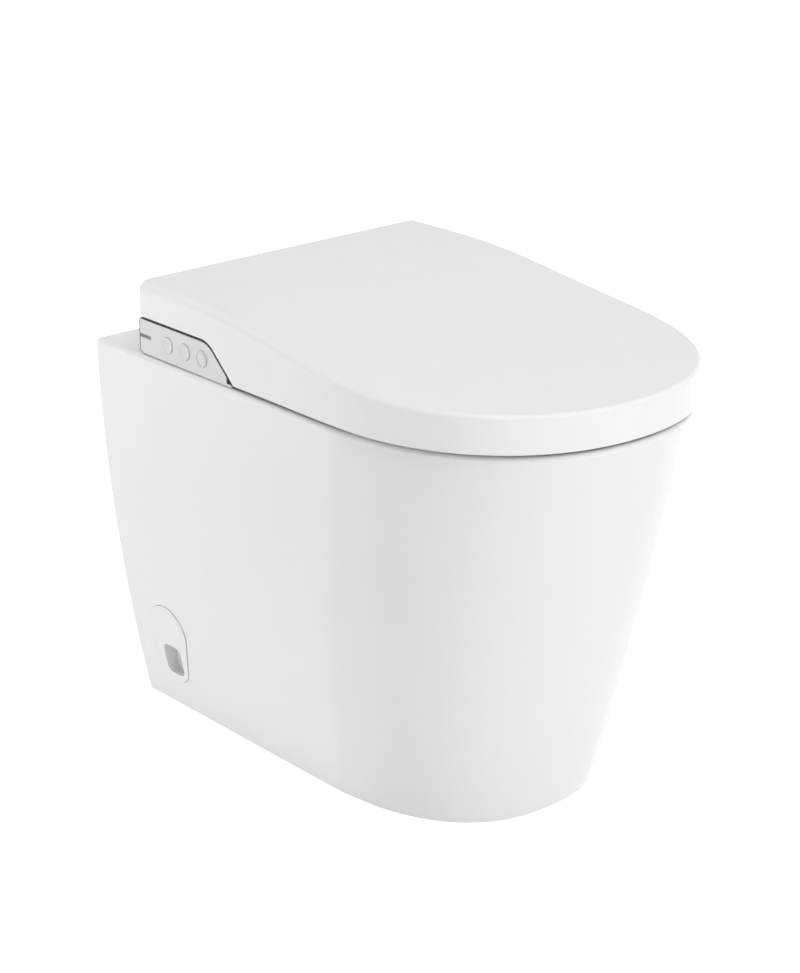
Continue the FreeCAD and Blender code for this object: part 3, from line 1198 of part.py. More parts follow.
def dryer_heater():
    """Mica frame with heating strips in the dryer's duct."""
    x0 = OUTLET_X0 + 2.3
    x1 = OUTLET_X1 - 2.3
    low = DRYER_LOW + 2.3
    frame = block(x0, x1, 193, 206, low, low + 17)
    opening = block(x0 + 1, x1 - 1, 192, 207, low + 1, low + 16)
    strips = [block(x0, x1, 195, 204, low + 3 + 3.4 * i, low + 3.6 + 3.4 * i) for i in range(4)]
    return frame.cut(opening).fuse(strips)


def deodoriser_housing():
    """Fan case of the deodoriser."""
    case = rod_z(430, 456, FILTER_FAN_X, FILTER_FAN_DEPTH, FILTER_FAN_RADIUS)
    mouth = block(118, 142, FILTER_FAN_DEPTH + 15, 159, 430, 448)
    foot = rod_z(TRAY_TOP, 431, FILTER_FAN_X, FILTER_FAN_DEPTH, 6)
    body = case.fuse([mouth, foot])
    room = rod_z(432, 454, FILTER_FAN_X, FILTER_FAN_DEPTH, FILTER_FAN_RADIUS - 2)
    way = block(120, 140, FILTER_FAN_DEPTH + 10, 160, 432, 446)
    intake = rod_z(453, 457, FILTER_FAN_X, FILTER_FAN_DEPTH, 11)
    return body.cut([room, way, intake])


def deodoriser_impeller():
    """Fan wheel of the deodoriser."""
    return impeller(FILTER_FAN_X, FILTER_FAN_DEPTH, 434, 450, 7, 18, 12, 35, 1.5, 452)


def carbon_filter():
    """Carbon filter block in its open frame."""
    frame = block(112, 148, 159, 186, 427, 449)
    cells = []
    for column in range(5):
        for row in range(3):
            x = 115 + column * 6.2
            z = 429.5 + row * 6.2
            cells.append(block(x, x + 5, 158, 187, z, z + 5))
    foot = block(120, 140, 165, 180, TRAY_TOP, 428)
    return frame.cut(cells).fuse(foot)


def circuit_board(x0, x1, d0, d1, z, parts):
    """Board with its parts, each part given as X, depth, width, length and height."""
    board = block(x0, x1, d0, d1, z, z + 1.6)
    chips = [block(x, x + w, d, d + length, z + 1.5, z + 1.6 + h) for x, d, w, length, h in parts]
    return board.fuse(chips)


def control_board():
    """Main control board over the blowers."""
    parts = [(60, 110, 18, 18, 2), (84, 108, 10, 14, 3), (100, 108, 12, 8, 5), (120, 110, 24, 6, 6),
             (46, 112, 8, 20, 4), (64, 134, 30, 10, 3), (104, 124, 16, 22, 2), (126, 128, 14, 14, 5)]
    legs = [rod_z(TRAY_TOP, 470, x, d, 2.2) for x, d in ((44, 108), (152, 108), (152, 178))]
    return circuit_board(40, 156, 104, 182, 469, parts).fuse(legs)


def power_supply():
    """Mains power supply over the water heater."""
    parts = [(-146, 116, 20, 26, 11), (-122, 114, 14, 14, 10), (-104, 116, 24, 20, 9), (-74, 114, 12, 30, 8),
             (-146, 150, 16, 16, 10), (-124, 140, 10, 22, 6), (-106, 146, 26, 12, 7)]
    legs = [rod_z(TRAY_TOP, 464, x, d, 2.2) for x, d in ((-152, 134), (-112, 108), (-48, 108))]
    return circuit_board(-156, -44, 104, 176, 463, parts).fuse(legs)


PARTS = {
    "ceramic_pan": ceramic_pan(),
    "side_cap_right": side_cap(-1),
    "side_cap_left": side_cap(1),
    "floor_brackets": floor_brackets(),
    "side_fixing_screws": side_fixing_screws(),
    "equipment_frame": equipment_frame(),
    "flush_reservoir": flush_reservoir(),
    "level_sensor": level_sensor(),
    "reservoir_float": reservoir_float(),
    "inlet_valve": inlet_valve(),
    "fill_hose": fill_hose(),
    "power_inlet": power_inlet(),
    "flush_pump_housing": flush_pump_housing(),
    "flush_pump_impeller": flush_pump_impeller(),
    "flush_pump_motor": flush_pump_motor(),
    "flush_hose": flush_hose(),
    "flush_spreader": flush_spreader(),
    "lid_shell": lid_shell(),
    "lid_inner_panel": lid_inner_panel(),
    "lid_buffers": lid_buffers(),
    "seat_top_shell": seat_top_shell(),
    "seat_bottom_shell": seat_bottom_shell(),
    "seat_heater": seat_heater(),
    "seat_buffers": seat_buffers(),
    "base_tray": base_tray(),
    "mounting_bolts": mounting_bolts(),
    "unit_housing": unit_housing(),
    "dryer_flap": dryer_flap(),
    "user_sensor_window": user_sensor_window(),
    "hinge_pins": hinge_pins(),
    "seat_damper": damper(-1),
    "lid_damper": damper(1),
    "control_side_panel": side_panel(-1),
    "plain_side_panel": side_panel(1),
    "control_side_trim": panel_trim(-1),
    "plain_side_trim": panel_trim(1),
    "status_lens": status_lens(),
    "button_board": button_board(),
    "rear_wash_nozzle": nozzle_arm(-NOZZLE_X),
    "front_wash_nozzle": nozzle_arm(NOZZLE_X),
    "rear_nozzle_pinion": nozzle_pinion(-NOZZLE_X),
    "front_nozzle_pinion": nozzle_pinion(NOZZLE_X),
    "nozzle_motors": nozzle_motors(),
    "nozzle_housing": nozzle_housing(),
    "wash_valve": wash_valve(),
    "wash_pump": wash_pump(),
    "water_heater": water_heater(),
    "wash_hoses": wash_hoses(),
    "dryer_housing": dryer_housing(),
    "dryer_impeller": dryer_impeller(),
    "dryer_heater": dryer_heater(),
    "deodoriser_housing": deodoriser_housing(),
    "deodoriser_impeller": deodoriser_impeller(),
    "carbon_filter": carbon_filter(),
    "control_board": control_board(),
    "power_supply": power_supply(),
}
for button in BUTTON_DEPTHS:
    PARTS[button] = push_button(button)

os.makedirs("parts", exist_ok=True)
for name, shape in PARTS.items():
    shape.exportStep(f"parts/{name}.step")
    print(name, "valid" if shape.isValid() else "NOT VALID", len(shape.Solids), "solids")
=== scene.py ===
# %% [markdown]
# # A smart toilet with a heated seat
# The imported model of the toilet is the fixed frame: every solid piece is already at its real size and
# place, in metres, with the floor at Z = 0, the wall behind at the back of the box and the user's
# right-hand side, with the push buttons, at -X. This script gives every surface its finish, models
# the pieces whose form needs more than the solids hold, and sets up the camera and the studio.

# %% Load the frame
import bpy
import bmesh
import json
import math
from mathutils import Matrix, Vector


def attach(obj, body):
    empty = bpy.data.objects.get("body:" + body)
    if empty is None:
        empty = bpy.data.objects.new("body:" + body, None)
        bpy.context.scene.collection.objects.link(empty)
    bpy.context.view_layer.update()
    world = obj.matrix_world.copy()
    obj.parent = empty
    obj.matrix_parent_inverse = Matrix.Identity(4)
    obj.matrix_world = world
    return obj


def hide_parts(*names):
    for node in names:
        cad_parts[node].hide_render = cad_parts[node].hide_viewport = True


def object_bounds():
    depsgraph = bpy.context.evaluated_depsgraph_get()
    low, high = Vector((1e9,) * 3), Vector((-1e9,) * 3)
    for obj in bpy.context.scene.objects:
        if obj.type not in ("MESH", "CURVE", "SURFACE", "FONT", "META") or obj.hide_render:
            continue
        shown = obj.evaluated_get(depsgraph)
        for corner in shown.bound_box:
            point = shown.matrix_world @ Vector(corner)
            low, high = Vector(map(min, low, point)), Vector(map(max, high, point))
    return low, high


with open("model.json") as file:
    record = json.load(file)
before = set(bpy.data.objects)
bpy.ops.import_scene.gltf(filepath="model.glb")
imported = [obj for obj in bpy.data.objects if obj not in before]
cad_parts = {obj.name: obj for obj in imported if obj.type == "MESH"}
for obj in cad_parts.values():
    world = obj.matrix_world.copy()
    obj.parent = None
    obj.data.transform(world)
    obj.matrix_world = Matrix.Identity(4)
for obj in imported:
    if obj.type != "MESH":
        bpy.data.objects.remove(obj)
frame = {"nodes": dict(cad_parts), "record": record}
cad_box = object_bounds()
nodes = frame["nodes"]
print("nodes:", len(nodes), "box:", [round(v, 3) for v in cad_box[0]], [round(v, 3) for v in cad_box[1]])

# %% [markdown]
# ## Units
# Sizes are written in millimetres, as on a drawing, and turned to metres where they are used.

# %% Millimetres to metres
MM = 0.001


def mm(*values):
    """A point or size in millimetres as a vector in metres."""
    return Vector(values) * MM


WALL_Y = cad_box[1].y / MM


def depth(distance):
    """Y in millimetres of a point this far in front of the wall."""
    return WALL_Y - distance


print("wall plane at y =", round(WALL_Y, 1), "mm")

# %% [markdown]
# ## Camera
# The object stands turned so that its button side and its front both show, seen from a little above
# the lid. The camera is aimed at a point on the toilet's middle plane and its place is worked out
# from an azimuth, an elevation and a distance, so that it can be read and checked. A long lens keeps
# the perspective as gentle as it is in a catalogue picture.

# %% Camera
CAMERA_AZIMUTH = -41.656
CAMERA_ELEVATION = 20.866
CAMERA_DISTANCE = 2328.3
CAMERA_TARGET = (-68.9, -38.7, 318.3)
CAMERA_LENS = 86.74

azimuth = math.radians(CAMERA_AZIMUTH)
elevation = math.radians(CAMERA_ELEVATION)
towards_camera = Vector((math.sin(azimuth) * math.cos(elevation),
                         -math.cos(azimuth) * math.cos(elevation),
                         math.sin(elevation)))
camera_data = bpy.data.cameras.new("camera")
camera_data.lens = CAMERA_LENS
camera = bpy.data.objects.new("camera", camera_data)
bpy.context.scene.collection.objects.link(camera)
camera.location = mm(*CAMERA_TARGET) + towards_camera * CAMERA_DISTANCE * MM
camera.rotation_euler = (-towards_camera).to_track_quat("-Z", "Y").to_euler()
bpy.context.scene.camera = camera
print("camera at", [round(v, 3) for v in camera.location])

# %% [markdown]
# ## Studio
# White goods are photographed in a white room: broad soft light from every side, a little stronger
# from the left and from the right, so that the part of the pan that faces the camera is the
# darkest. The floor is pale, and only its own shadow shows on it.

# %% Node helper and colours
def linear(code):
    """An sRGB hex colour as linear red, green, blue and alpha."""
    channels = [int(code[i:i + 2], 16) / 255 for i in (1, 3, 5)]
    return [c / 12.92 if c <= 0.04045 else ((c + 0.055) / 1.055) ** 2.4 for c in channels] + [1.0]


def add_node(tree, kind, settings=None, values=None, links=None):
    """Adds a shader node with its settings, its constant inputs and its links."""
    node = tree.nodes.new(kind)
    for name, value in (settings or {}).items():
        setattr(node, name, value)
    for socket, value in (values or {}).items():
        node.inputs[socket].default_value = value
    for socket, source in (links or {}).items():
        tree.links.new(source, node.inputs[socket])
    return node


# %% [markdown]
# ## The white room
# The world round the object is white paper. A Light Path node tells the rays of the camera, of
# reflections and of clear plastic from the rays that light the object: the first three see plain white,
# and the light itself comes from a softer grey, so a white background costs no extra light.

# %% World
WORLD_LIGHT = 0.145
world = bpy.data.worlds.new("white_studio")
bpy.context.scene.world = world
world.use_nodes = True
tree = world.node_tree
tree.nodes.clear()


def seen_rays(tree):
    """1 for rays that see: those of the camera, of reflections and of clear plastic."""
    rays = add_node(tree, "ShaderNodeLightPath")
    camera_or_gloss = add_node(tree, "ShaderNodeMath", {"operation": "MAXIMUM"}, None,
                               {0: rays.outputs["Is Camera Ray"], 1: rays.outputs["Is Glossy Ray"]})
    return add_node(tree, "ShaderNodeMath", {"operation": "MAXIMUM"}, None,
                    {0: camera_or_gloss.outputs[0], 1: rays.outputs["Is Transmission Ray"]}).outputs[0]


soft = add_node(tree, "ShaderNodeBackground", None, {"Color": (1, 1, 1, 1), "Strength": WORLD_LIGHT})
white = add_node(tree, "ShaderNodeBackground", None, {"Color": (1, 1, 1, 1), "Strength": 1.0})
mix = add_node(tree, "ShaderNodeMixShader", None, None,
               {0: seen_rays(tree), 1: soft.outputs[0], 2: white.outputs[0]})
add_node(tree, "ShaderNodeOutputWorld", None, None, {"Surface": mix.outputs[0]})
bpy.context.scene.view_settings.view_transform = "Standard"
print("world light:", WORLD_LIGHT)

# %% [markdown]
# ## Softboxes
# Seven broad lamps stand round the object, all the same plain white. Each is large against its distance,
# so its shadows are soft. They are hidden from reflections: the glaze then mirrors only the even white
# room, and no bright bar runs along a rim. The front and left lamps shape the sides in the picture,
# and the right and rear ones keep the far sides readable when the toilet is looked at from there.

# %% Softboxes
def softbox(name, place, aim, width, height, power):
    """A rectangular area lamp at a place in millimetres, aimed at a point."""
    data = bpy.data.lights.new(name, "AREA")
    data.shape = "RECTANGLE"
    data.size = width * MM
    data.size_y = height * MM
    data.energy = power
    lamp = bpy.data.objects.new(name, data)
    bpy.context.scene.collection.objects.link(lamp)
    lamp.location = mm(*place)
    lamp.rotation_euler = (mm(*aim) - mm(*place)).to_track_quat("-Z", "Y").to_euler()
    lamp.visible_glossy = False
    return lamp


CENTRE = (0, 0, 250)
softbox("high_front_softbox", (-600, -1700, 2300), CENTRE, 1800, 1800, 26.6)
softbox("top_softbox", (0, -200, 2700), CENTRE, 1800, 1800, 25.7)
softbox("left_rear_softbox", (-1500, 2500, 350), CENTRE, 1400, 680, 34)
softbox("left_side_softbox", (-2700, 500, 350), CENTRE, 1400, 680, 10.7)
softbox("front_softbox", (400, -2800, 300), CENTRE, 1200, 580, 22.8)
softbox("right_side_softbox", (2700, 700, 500), CENTRE, 1400, 900, 25.2)
softbox("rear_softbox", (900, 2700, 600), CENTRE, 1400, 900, 13.6)

# %% [markdown]
# ## Floor
# A wide sheet of white paper. Near the toilet it keeps the soft shadow that shows that it stands on
# something. Further out it gives off its own white, only for the rays that see, so that it runs into
# the background with no edge. How much it gives off grows smoothly with the distance from the toilet.

# %% Floor
FLOOR_SIZE = 60000
FLOOR_NEAR = 400
FLOOR_FAR = 1500
FLOOR_LIFT_NEAR = 0.55
FLOOR_LIFT_FAR = 1.0
bpy.ops.object.select_all(action="DESELECT")
bpy.ops.mesh.primitive_plane_add(size=FLOOR_SIZE * MM, location=(0, 0, 0))
floor = bpy.context.object
floor.name = "studio_floor"
paper = bpy.data.materials.new("white_paper_floor")
paper.use_nodes = True
tree = paper.node_tree
bsdf = tree.nodes["Principled BSDF"]
bsdf.inputs["Base Color"].default_value = linear("#F2F2F2")
bsdf.inputs["Roughness"].default_value = 0.9
bsdf.inputs["Specular IOR Level"].default_value = 0.0
place = add_node(tree, "ShaderNodeTexCoord")
away = add_node(tree, "ShaderNodeVectorMath", {"operation": "LENGTH"}, None, {0: place.outputs["Object"]})
lift = add_node(tree, "ShaderNodeMapRange", {"interpolation_type": "SMOOTHSTEP"},
                {"From Min": FLOOR_NEAR * MM, "From Max": FLOOR_FAR * MM,
                 "To Min": FLOOR_LIFT_NEAR, "To Max": FLOOR_LIFT_FAR}, {"Value": away.outputs["Value"]})
shown = add_node(tree, "ShaderNodeMath", {"operation": "MULTIPLY"}, None,
                 {0: lift.outputs[0], 1: seen_rays(tree)})
glow = add_node(tree, "ShaderNodeEmission", None, {"Color": (1, 1, 1, 1)}, {"Strength": shown.outputs[0]})
both = add_node(tree, "ShaderNodeAddShader", None, None, {0: bsdf.outputs[0], 1: glow.outputs[0]})
tree.links.new(both.outputs[0], tree.nodes["Material Output"].inputs["Surface"])
floor.data.materials.append(paper)
print("floor:", FLOOR_SIZE / 1000, "m square")

# %% [markdown]
# ## Materials
# Every finish starts from one Principled shader. White goods look flat when their colour is a single
# number, so vary() lets the colour and the roughness drift softly over patches of a real size, and
# grain() adds the small unevenness of the real surface: the slow ripple of a fired glaze, the fine
# texture of a mould, the pores of rubber. All sizes are real millimetres in Object coordinates, so the
# grain neither stretches nor changes with the camera.

# %% Finish helpers
def grain(tree, shader, grain_mm, height_mm):
    """Fine bumps of a real spacing and height."""
    place = add_node(tree, "ShaderNodeTexCoord")
    noise = add_node(tree, "ShaderNodeTexNoise", None,
                     {"Scale": 1 / (grain_mm * MM), "Detail": 2.0, "Roughness": 0.6},
                     {"Vector": place.outputs["Object"]})
    bump = add_node(tree, "ShaderNodeBump", None, {"Strength": 1.0, "Distance": height_mm * MM},
                    {"Height": noise.outputs["Fac"]})
    tree.links.new(bump.outputs[0], shader.inputs["Normal"])


def vary(tree, shader, colours, patch_mm, roughness):
    """Lets the colour and the roughness drift softly over patches of a real size."""
    place = add_node(tree, "ShaderNodeTexCoord")
    noise = add_node(tree, "ShaderNodeTexNoise", None,
                     {"Scale": 1 / (patch_mm * MM), "Detail": 3.0, "Roughness": 0.5},
                     {"Vector": place.outputs["Object"]})
    mix = add_node(tree, "ShaderNodeMix", {"data_type": "RGBA"},
                   {6: linear(colours[0]), 7: linear(colours[1])}, {0: noise.outputs["Fac"]})
    tree.links.new(mix.outputs[2], shader.inputs["Base Color"])
    rough = add_node(tree, "ShaderNodeMapRange", None,
                     {"From Min": 0.3, "From Max": 0.7, "To Min": roughness[0], "To Max": roughness[1]},
                     {"Value": noise.outputs["Fac"]})
    tree.links.new(rough.outputs[0], shader.inputs["Roughness"])


def finish(name, colours, roughness, patch_mm, grain_mm, height_mm, settings=None):
    """A material that drifts between two colours and two roughnesses, with a fine grain."""
    material = bpy.data.materials.new(name)
    material.use_nodes = True
    shader = material.node_tree.nodes["Principled BSDF"]
    for socket, value in (settings or {}).items():
        shader.inputs[socket].default_value = value
    vary(material.node_tree, shader, colours, patch_mm, roughness)
    grain(material.node_tree, shader, grain_mm, height_mm)
    return material


# %% China, lid and panels
# Fired white glaze over clay: a deep clear gloss whose mirror image wavers a little.
china = finish("vitreous_china_glaze", ("#ECECEB", "#EFEFEF"), (0.07, 0.13), patch_mm=90,
               grain_mm=9, height_mm=0.02, settings={"IOR": 1.5, "Coat Weight": 0.3})
# Hard urea moulding of the lid and seat: as white as the china, but with a softer, broader shine.
lid_gloss = finish("moulded_urea_gloss", ("#EDEDED", "#F0F0F0"), (0.17, 0.24), patch_mm=60,
                   grain_mm=1.2, height_mm=0.004)
# Satin white ABS of the seat unit: a trace cooler than the lid, with almost no mirror image.
satin_abs = finish("moulded_abs_satin", ("#E9EAEC", "#EDEEEF"), (0.32, 0.4), patch_mm=50,
                   grain_mm=0.5, height_mm=0.01)
# Pale grey ABS of the side panels: a step darker than the lid, which sets the controls apart.
panel_abs = finish("moulded_abs_pale_grey", ("#D9DADD", "#DDDEE0"), (0.32, 0.4), patch_mm=30,
                   grain_mm=0.4, height_mm=0.01)
# Mid grey of the panels' edge strips: painted shade, a thin grey line that stands for the shade on each side
# panel's rear edge.
painted_edge_shade = finish("painted_edge_shade_grey", ("#7C7E82", "#848689"), (0.35, 0.5), patch_mm=10,
                   grain_mm=0.4, height_mm=0.01)
# Black ABS trim: nearly no sheen, so that it reads as one clean black line at any angle.
black_abs = finish("moulded_abs_black", ("#0C0C0D", "#121214"), (0.25, 0.35), patch_mm=20,
                   grain_mm=0.6, height_mm=0.004, settings={"Specular IOR Level": 0.15})
# Smoked acrylic over the indicator: grey rather than black, because it lets some light back out.
smoked_lens = finish("smoked_acrylic_lens", ("#6B6B6E", "#707073"), (0.2, 0.3), patch_mm=10,
                     grain_mm=0.6, height_mm=0.004)
print("materials with the lid and the panels:", len(bpy.data.materials))

# %% Rubber, hoses and tank
# Grey rubber of the pads: dull, and a little powdery where it has been pressed.
rubber = finish("moulded_grey_rubber", ("#A9AAAC", "#B0B1B3"), (0.6, 0.8), patch_mm=8,
                grain_mm=0.4, height_mm=0.02)
# Black extruded hose: a faint sheen along its length.
hose_rubber = finish("extruded_black_rubber", ("#1C1C1E", "#242426"), (0.45, 0.6), patch_mm=12,
                     grain_mm=0.6, height_mm=0.02)
# Milky silicone tube for the wash water: pale, soft and smooth.
milky = finish("milky_silicone_tube", ("#D9DCDE", "#E2E4E5"), (0.3, 0.4), patch_mm=10,
               grain_mm=0.6, height_mm=0.01)
# Uncoloured polypropylene of the reservoir: a waxy ivory, slightly uneven as blow moulding leaves it.
natural_pp = finish("blow_moulded_natural_pp", ("#DCDBD4", "#E2E1DB"), (0.4, 0.5), patch_mm=25,
                    grain_mm=0.8, height_mm=0.02)
print("materials with rubber, hoses and tank:", len(bpy.data.materials))

# %% Works
# Zinc-plated steel of the frame, brackets, screws and pins: cool metal with cloudy patches of plating.
zinc = finish("zinc_plated_steel", ("#B9BBBD", "#A9ABAE"), (0.25, 0.45), patch_mm=5,
              grain_mm=0.5, height_mm=0.01, settings={"Metallic": 1.0})
# Glass-filled nylon of pumps and valves: dark, with a dry surface where the fibres show.
dark_nylon = finish("glass_filled_nylon", ("#2B2D30", "#34363A"), (0.45, 0.6), patch_mm=6,
                    grain_mm=0.3, height_mm=0.02)
# Plated motor cans: darker metal than the frame, smooth from drawing.
motor_can = finish("plated_motor_can", ("#8E9194", "#9A9DA0"), (0.3, 0.4), patch_mm=8,
                   grain_mm=0.5, height_mm=0.008, settings={"Metallic": 1.0})
# Acetal gears: a warm, slightly waxy off-white.
acetal = finish("cut_acetal", ("#E2DED0", "#E7E4D9"), (0.3, 0.4), patch_mm=6,
                grain_mm=0.3, height_mm=0.005)
# Mica and foil of the heaters: flaky golden brown.
mica = finish("mica_sheet", ("#B08E5A", "#C0A070"), (0.4, 0.6), patch_mm=3,
              grain_mm=0.8, height_mm=0.02)
# Lacquered circuit boards: green with a clear wet look.
board = finish("lacquered_circuit_board", ("#14522C", "#0F4526"), (0.25, 0.35), patch_mm=4,
               grain_mm=1.0, height_mm=0.02)
# Activated carbon of the filter: the deepest black here, and rough like coke.
carbon = finish("activated_carbon_block", ("#141414", "#222222"), (0.8, 1.0), patch_mm=1.5,
                grain_mm=1.2, height_mm=0.3)
print("materials in all:", len(bpy.data.materials))

# %% A finish for every node
FINISHES = {
    "china": china, "lid_plastic": lid_gloss, "unit_plastic": satin_abs, "panel_plastic": panel_abs,
    "cap_plastic": lid_gloss, "trim_black": black_abs, "rubber_grey": rubber, "hose_rubber": hose_rubber,
    "clear_hose": milky, "steel": zinc, "nozzle_plastic": lid_gloss, "tank_plastic": natural_pp,
    "works_plastic": dark_nylon, "motor_metal": motor_can, "gear_plastic": acetal, "heater_parts": mica,
    "heater_case": satin_abs, "board_green": board, "filter_black": carbon,
}
for entry in frame["record"]["subparts"]:
    node = nodes[entry["node"]]
    node.data.materials.clear()
    node.data.materials.append(FINISHES[entry["material_slot"]])
nodes["status_lens"].data.materials[0] = smoked_lens
print("finished", len(nodes), "nodes")

# %% [markdown]
# # Pieces with a fuller form
# The solids hold the true sizes and the joints. Some pieces that the eye lingers on have more form than
# a plain solid: the crowned seat, the recessed liner of the lid, the domed rubber pads and the dished
# buttons. They are modelled here over their solids, and each stands for its node.

# %% Modelling helpers
def only(piece):
    """Makes a piece the only selected one, and the active one."""
    bpy.ops.object.select_all(action="DESELECT")
    piece.select_set(True)
    bpy.context.view_layer.objects.active = piece


def pick(piece, kind, test):
    """In edit mode, selects the verts, edges or faces that pass a test."""
    bpy.ops.mesh.select_all(action="DESELECT")
    bpy.ops.mesh.select_mode(type={"verts": "VERT", "edges": "EDGE", "faces": "FACE"}[kind])
    mesh = bmesh.from_edit_mesh(piece.data)
    for part in getattr(mesh, kind):
        if test(part):
            part.select_set(True)
    mesh.select_flush_mode()
    bmesh.update_edit_mesh(piece.data)


def settle(piece, angle=35):
    """Puts a piece's place into its mesh, closes its seams, turns its faces outwards and smooths it."""
    only(piece)
    bpy.ops.object.transform_apply(location=True, rotation=True, scale=True)
    bpy.ops.object.mode_set(mode="EDIT")
    bpy.ops.mesh.select_all(action="SELECT")
    bpy.ops.mesh.remove_doubles(threshold=0.00002)
    bpy.ops.mesh.normals_make_consistent(inside=False)
    bpy.ops.object.mode_set(mode="OBJECT")
    bpy.ops.object.shade_smooth_by_angle(angle=math.radians(angle))
    return piece


def thicken(piece, thickness):
    """Gives a sheet a wall on the side away from its faces."""
    wall = piece.modifiers.new("wall", "SOLIDIFY")
    wall.thickness = thickness * MM
    wall.offset = -1
    only(piece)
    bpy.ops.object.modifier_apply(modifier=wall.name)
    return piece


def put_on(piece, finish, body, slot, *replaced):
    """Gives a piece its finish, its body and the nodes that it stands for. The slot is not used."""
    piece.data.materials.clear()
    piece.data.materials.append(finish)
    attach(piece, body)
    if replaced:
        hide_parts(*replaced)
    size = [round(v / MM, 1) for v in piece.dimensions]
    print(piece.name, "size", size, "mm,", len(piece.data.polygons), "faces")


# %% [markdown]
# ## Lines for the seat and the liner
# Both the seat and the lid's liner are sheets inside a rounded outline. They could be drawn with curves
# and filled, but the fill leaves long thin triangles that catch the light. A grid with one column for
# each step along the outline and one row for each line across the section keeps every face small and
# regular. The grid is a flat primitive that is rolled up, and its open seam is then closed by a merge.

# %% Outlines
FRONT_POWER = 2.13
ROUND_START = 392.4
FRONT_STEPS = 120
SIDE_STEPS = 14
BACK_STEPS = 16
BEND_STEP = 9


def outline(half_rear, half, rear, reach, corner):
    """Points (x, depth) round a D-shaped piece, from its +X side over the front and back round the rear."""
    points = []
    for i in range(FRONT_STEPS):
        turn = math.pi * i / FRONT_STEPS
        across = math.copysign(abs(math.cos(turn)) ** (2 / FRONT_POWER), math.cos(turn))
        along = abs(math.sin(turn)) ** (2 / FRONT_POWER)
        points.append((half * across, ROUND_START + (reach - ROUND_START) * along))
    side = []
    for i in range(SIDE_STEPS + 1):
        share = i / SIDE_STEPS
        side.append((half + (half_rear - half) * share, ROUND_START + (rear + corner - ROUND_START) * share))
    bend = []
    for angle in range(BEND_STEP, 90, BEND_STEP):
        turn = math.radians(angle)
        bend.append((half_rear - corner + corner * math.cos(turn), rear + corner - corner * math.sin(turn)))
    back = [((half_rear - corner) * (1 - i / BACK_STEPS), rear) for i in range(BACK_STEPS + 1)]
    right = side + bend + back
    left = [(-x, d) for x, d in right]
    return points + left[:-1] + right[::-1]


def roll_grid(name, outer, rows, place):
    """A grid with a column for each outline point, each vertex put where place(point, row) says."""
    columns = len(outer)
    bpy.ops.object.select_all(action="DESELECT")
    bpy.ops.mesh.primitive_grid_add(x_subdivisions=columns - 1, y_subdivisions=rows - 1, size=2)
    piece = bpy.context.object
    piece.name = name
    for vert in piece.data.vertices:
        column = round((vert.co.x + 1) / 2 * (columns - 1))
        row = round((vert.co.y + 1) / 2 * (rows - 1))
        x, d, z = place(outer[column], row)
        vert.co = mm(x, depth(d), z)
    return piece


# %% [markdown]
# ## Heated seat
# The seat's hole is an egg, wide at the back and long to the front. Its top is crowned: it rises from a
# rounded outer edge to a broad ridge and falls gently into the hole, so that it bears evenly. Each line
# of the section is given by its distance from the outer edge, or from the hole, and its height. Over the
# tunnel for the wash nozzles the section is closed higher up, so that they pass under the seat.

# %% Seat top
SEAT_OUTLINE = outline(184.0, 184.0, 232.0, 591.0, 12.0)
HOLE_HALF = 106.0
HOLE_NEAR = 267.0
HOLE_FAR = 543.0
HOLE_WIDEST = 0.45
HOLE_MIDDLE = HOLE_NEAR + (HOLE_FAR - HOLE_NEAR) * HOLE_WIDEST
SEAT_LOW = 433.05
TUNNEL_HALF = 66.0
TUNNEL_END = 276.0
TUNNEL_TOP = 438.05
SEAT_OUTSIDE = [(0, None), (0, 443.5), (0.7, 446.4), (2.2, 448.3), (4.6, 449.3), (8.5, 449.8)]
SEAT_RIDGE = [(0.26, 450.0), (0.44, 449.9), (0.6, 449.5)]
SEAT_INSIDE = [(16, 448.7), (10, 447.6), (6, 446.2), (3, 444.0), (1, 441.2), (0, 438.6), (0, None)]
SEAT_UNDER = [(3, None), (3, 438.8), (6, 442.2), (11, 444.4), (17, 445.6)]
SEAT_UNDER_OUT = [(10, 446.6), (5, 445.5), (3, 442.5), (3, None)]
MOST_INSIDE = 0.36
MOST_UNDER = 0.3


def hole_point(point):
    """X and depth on the hole's edge that faces a point of the outer edge."""
    x, d = point
    turn = math.atan2(d - HOLE_MIDDLE, x)
    reach = HOLE_FAR - HOLE_MIDDLE if turn > 0 else HOLE_MIDDLE - HOLE_NEAR
    return HOLE_HALF * math.cos(turn), HOLE_MIDDLE + reach * math.sin(turn)


def seat_lines(width):
    """Distance from the outer edge and height of each line across a ring of a width."""
    lines = [(away, z) for away, z in SEAT_OUTSIDE]
    lines += [(share * width, z) for share, z in SEAT_RIDGE]
    lines += [(width - min(away, MOST_INSIDE * width), z) for away, z in SEAT_INSIDE]
    lines += [(width - min(away, MOST_UNDER * width), z) for away, z in SEAT_UNDER]
    lines += [(min(away, MOST_UNDER * width), z) for away, z in SEAT_UNDER_OUT]
    return lines + [lines[0]]


def seat_place(point, row):
    """Where the seat's section line of this row crosses the ring at a point of its outer edge."""
    x1, d1 = hole_point(point)
    width = math.hypot(x1 - point[0], d1 - point[1])
    away, z = seat_lines(width)[row]
    share = away / width
    x = point[0] + (x1 - point[0]) * share
    d = point[1] + (d1 - point[1]) * share
    over_tunnel = abs(x) < TUNNEL_HALF and d < TUNNEL_END
    under = row >= len(SEAT_OUTSIDE) + len(SEAT_RIDGE) + len(SEAT_INSIDE)
    if z is None or (over_tunnel and under):
        z = TUNNEL_TOP if over_tunnel else SEAT_LOW
    return x, d, z


ROWS = len(seat_lines(60.0))
seat_top = roll_grid("seat_top_crowned", SEAT_OUTLINE, ROWS, seat_place)
settle(seat_top, 40)
put_on(seat_top, lid_gloss, "seat", "lid_plastic", "seat_top_shell")

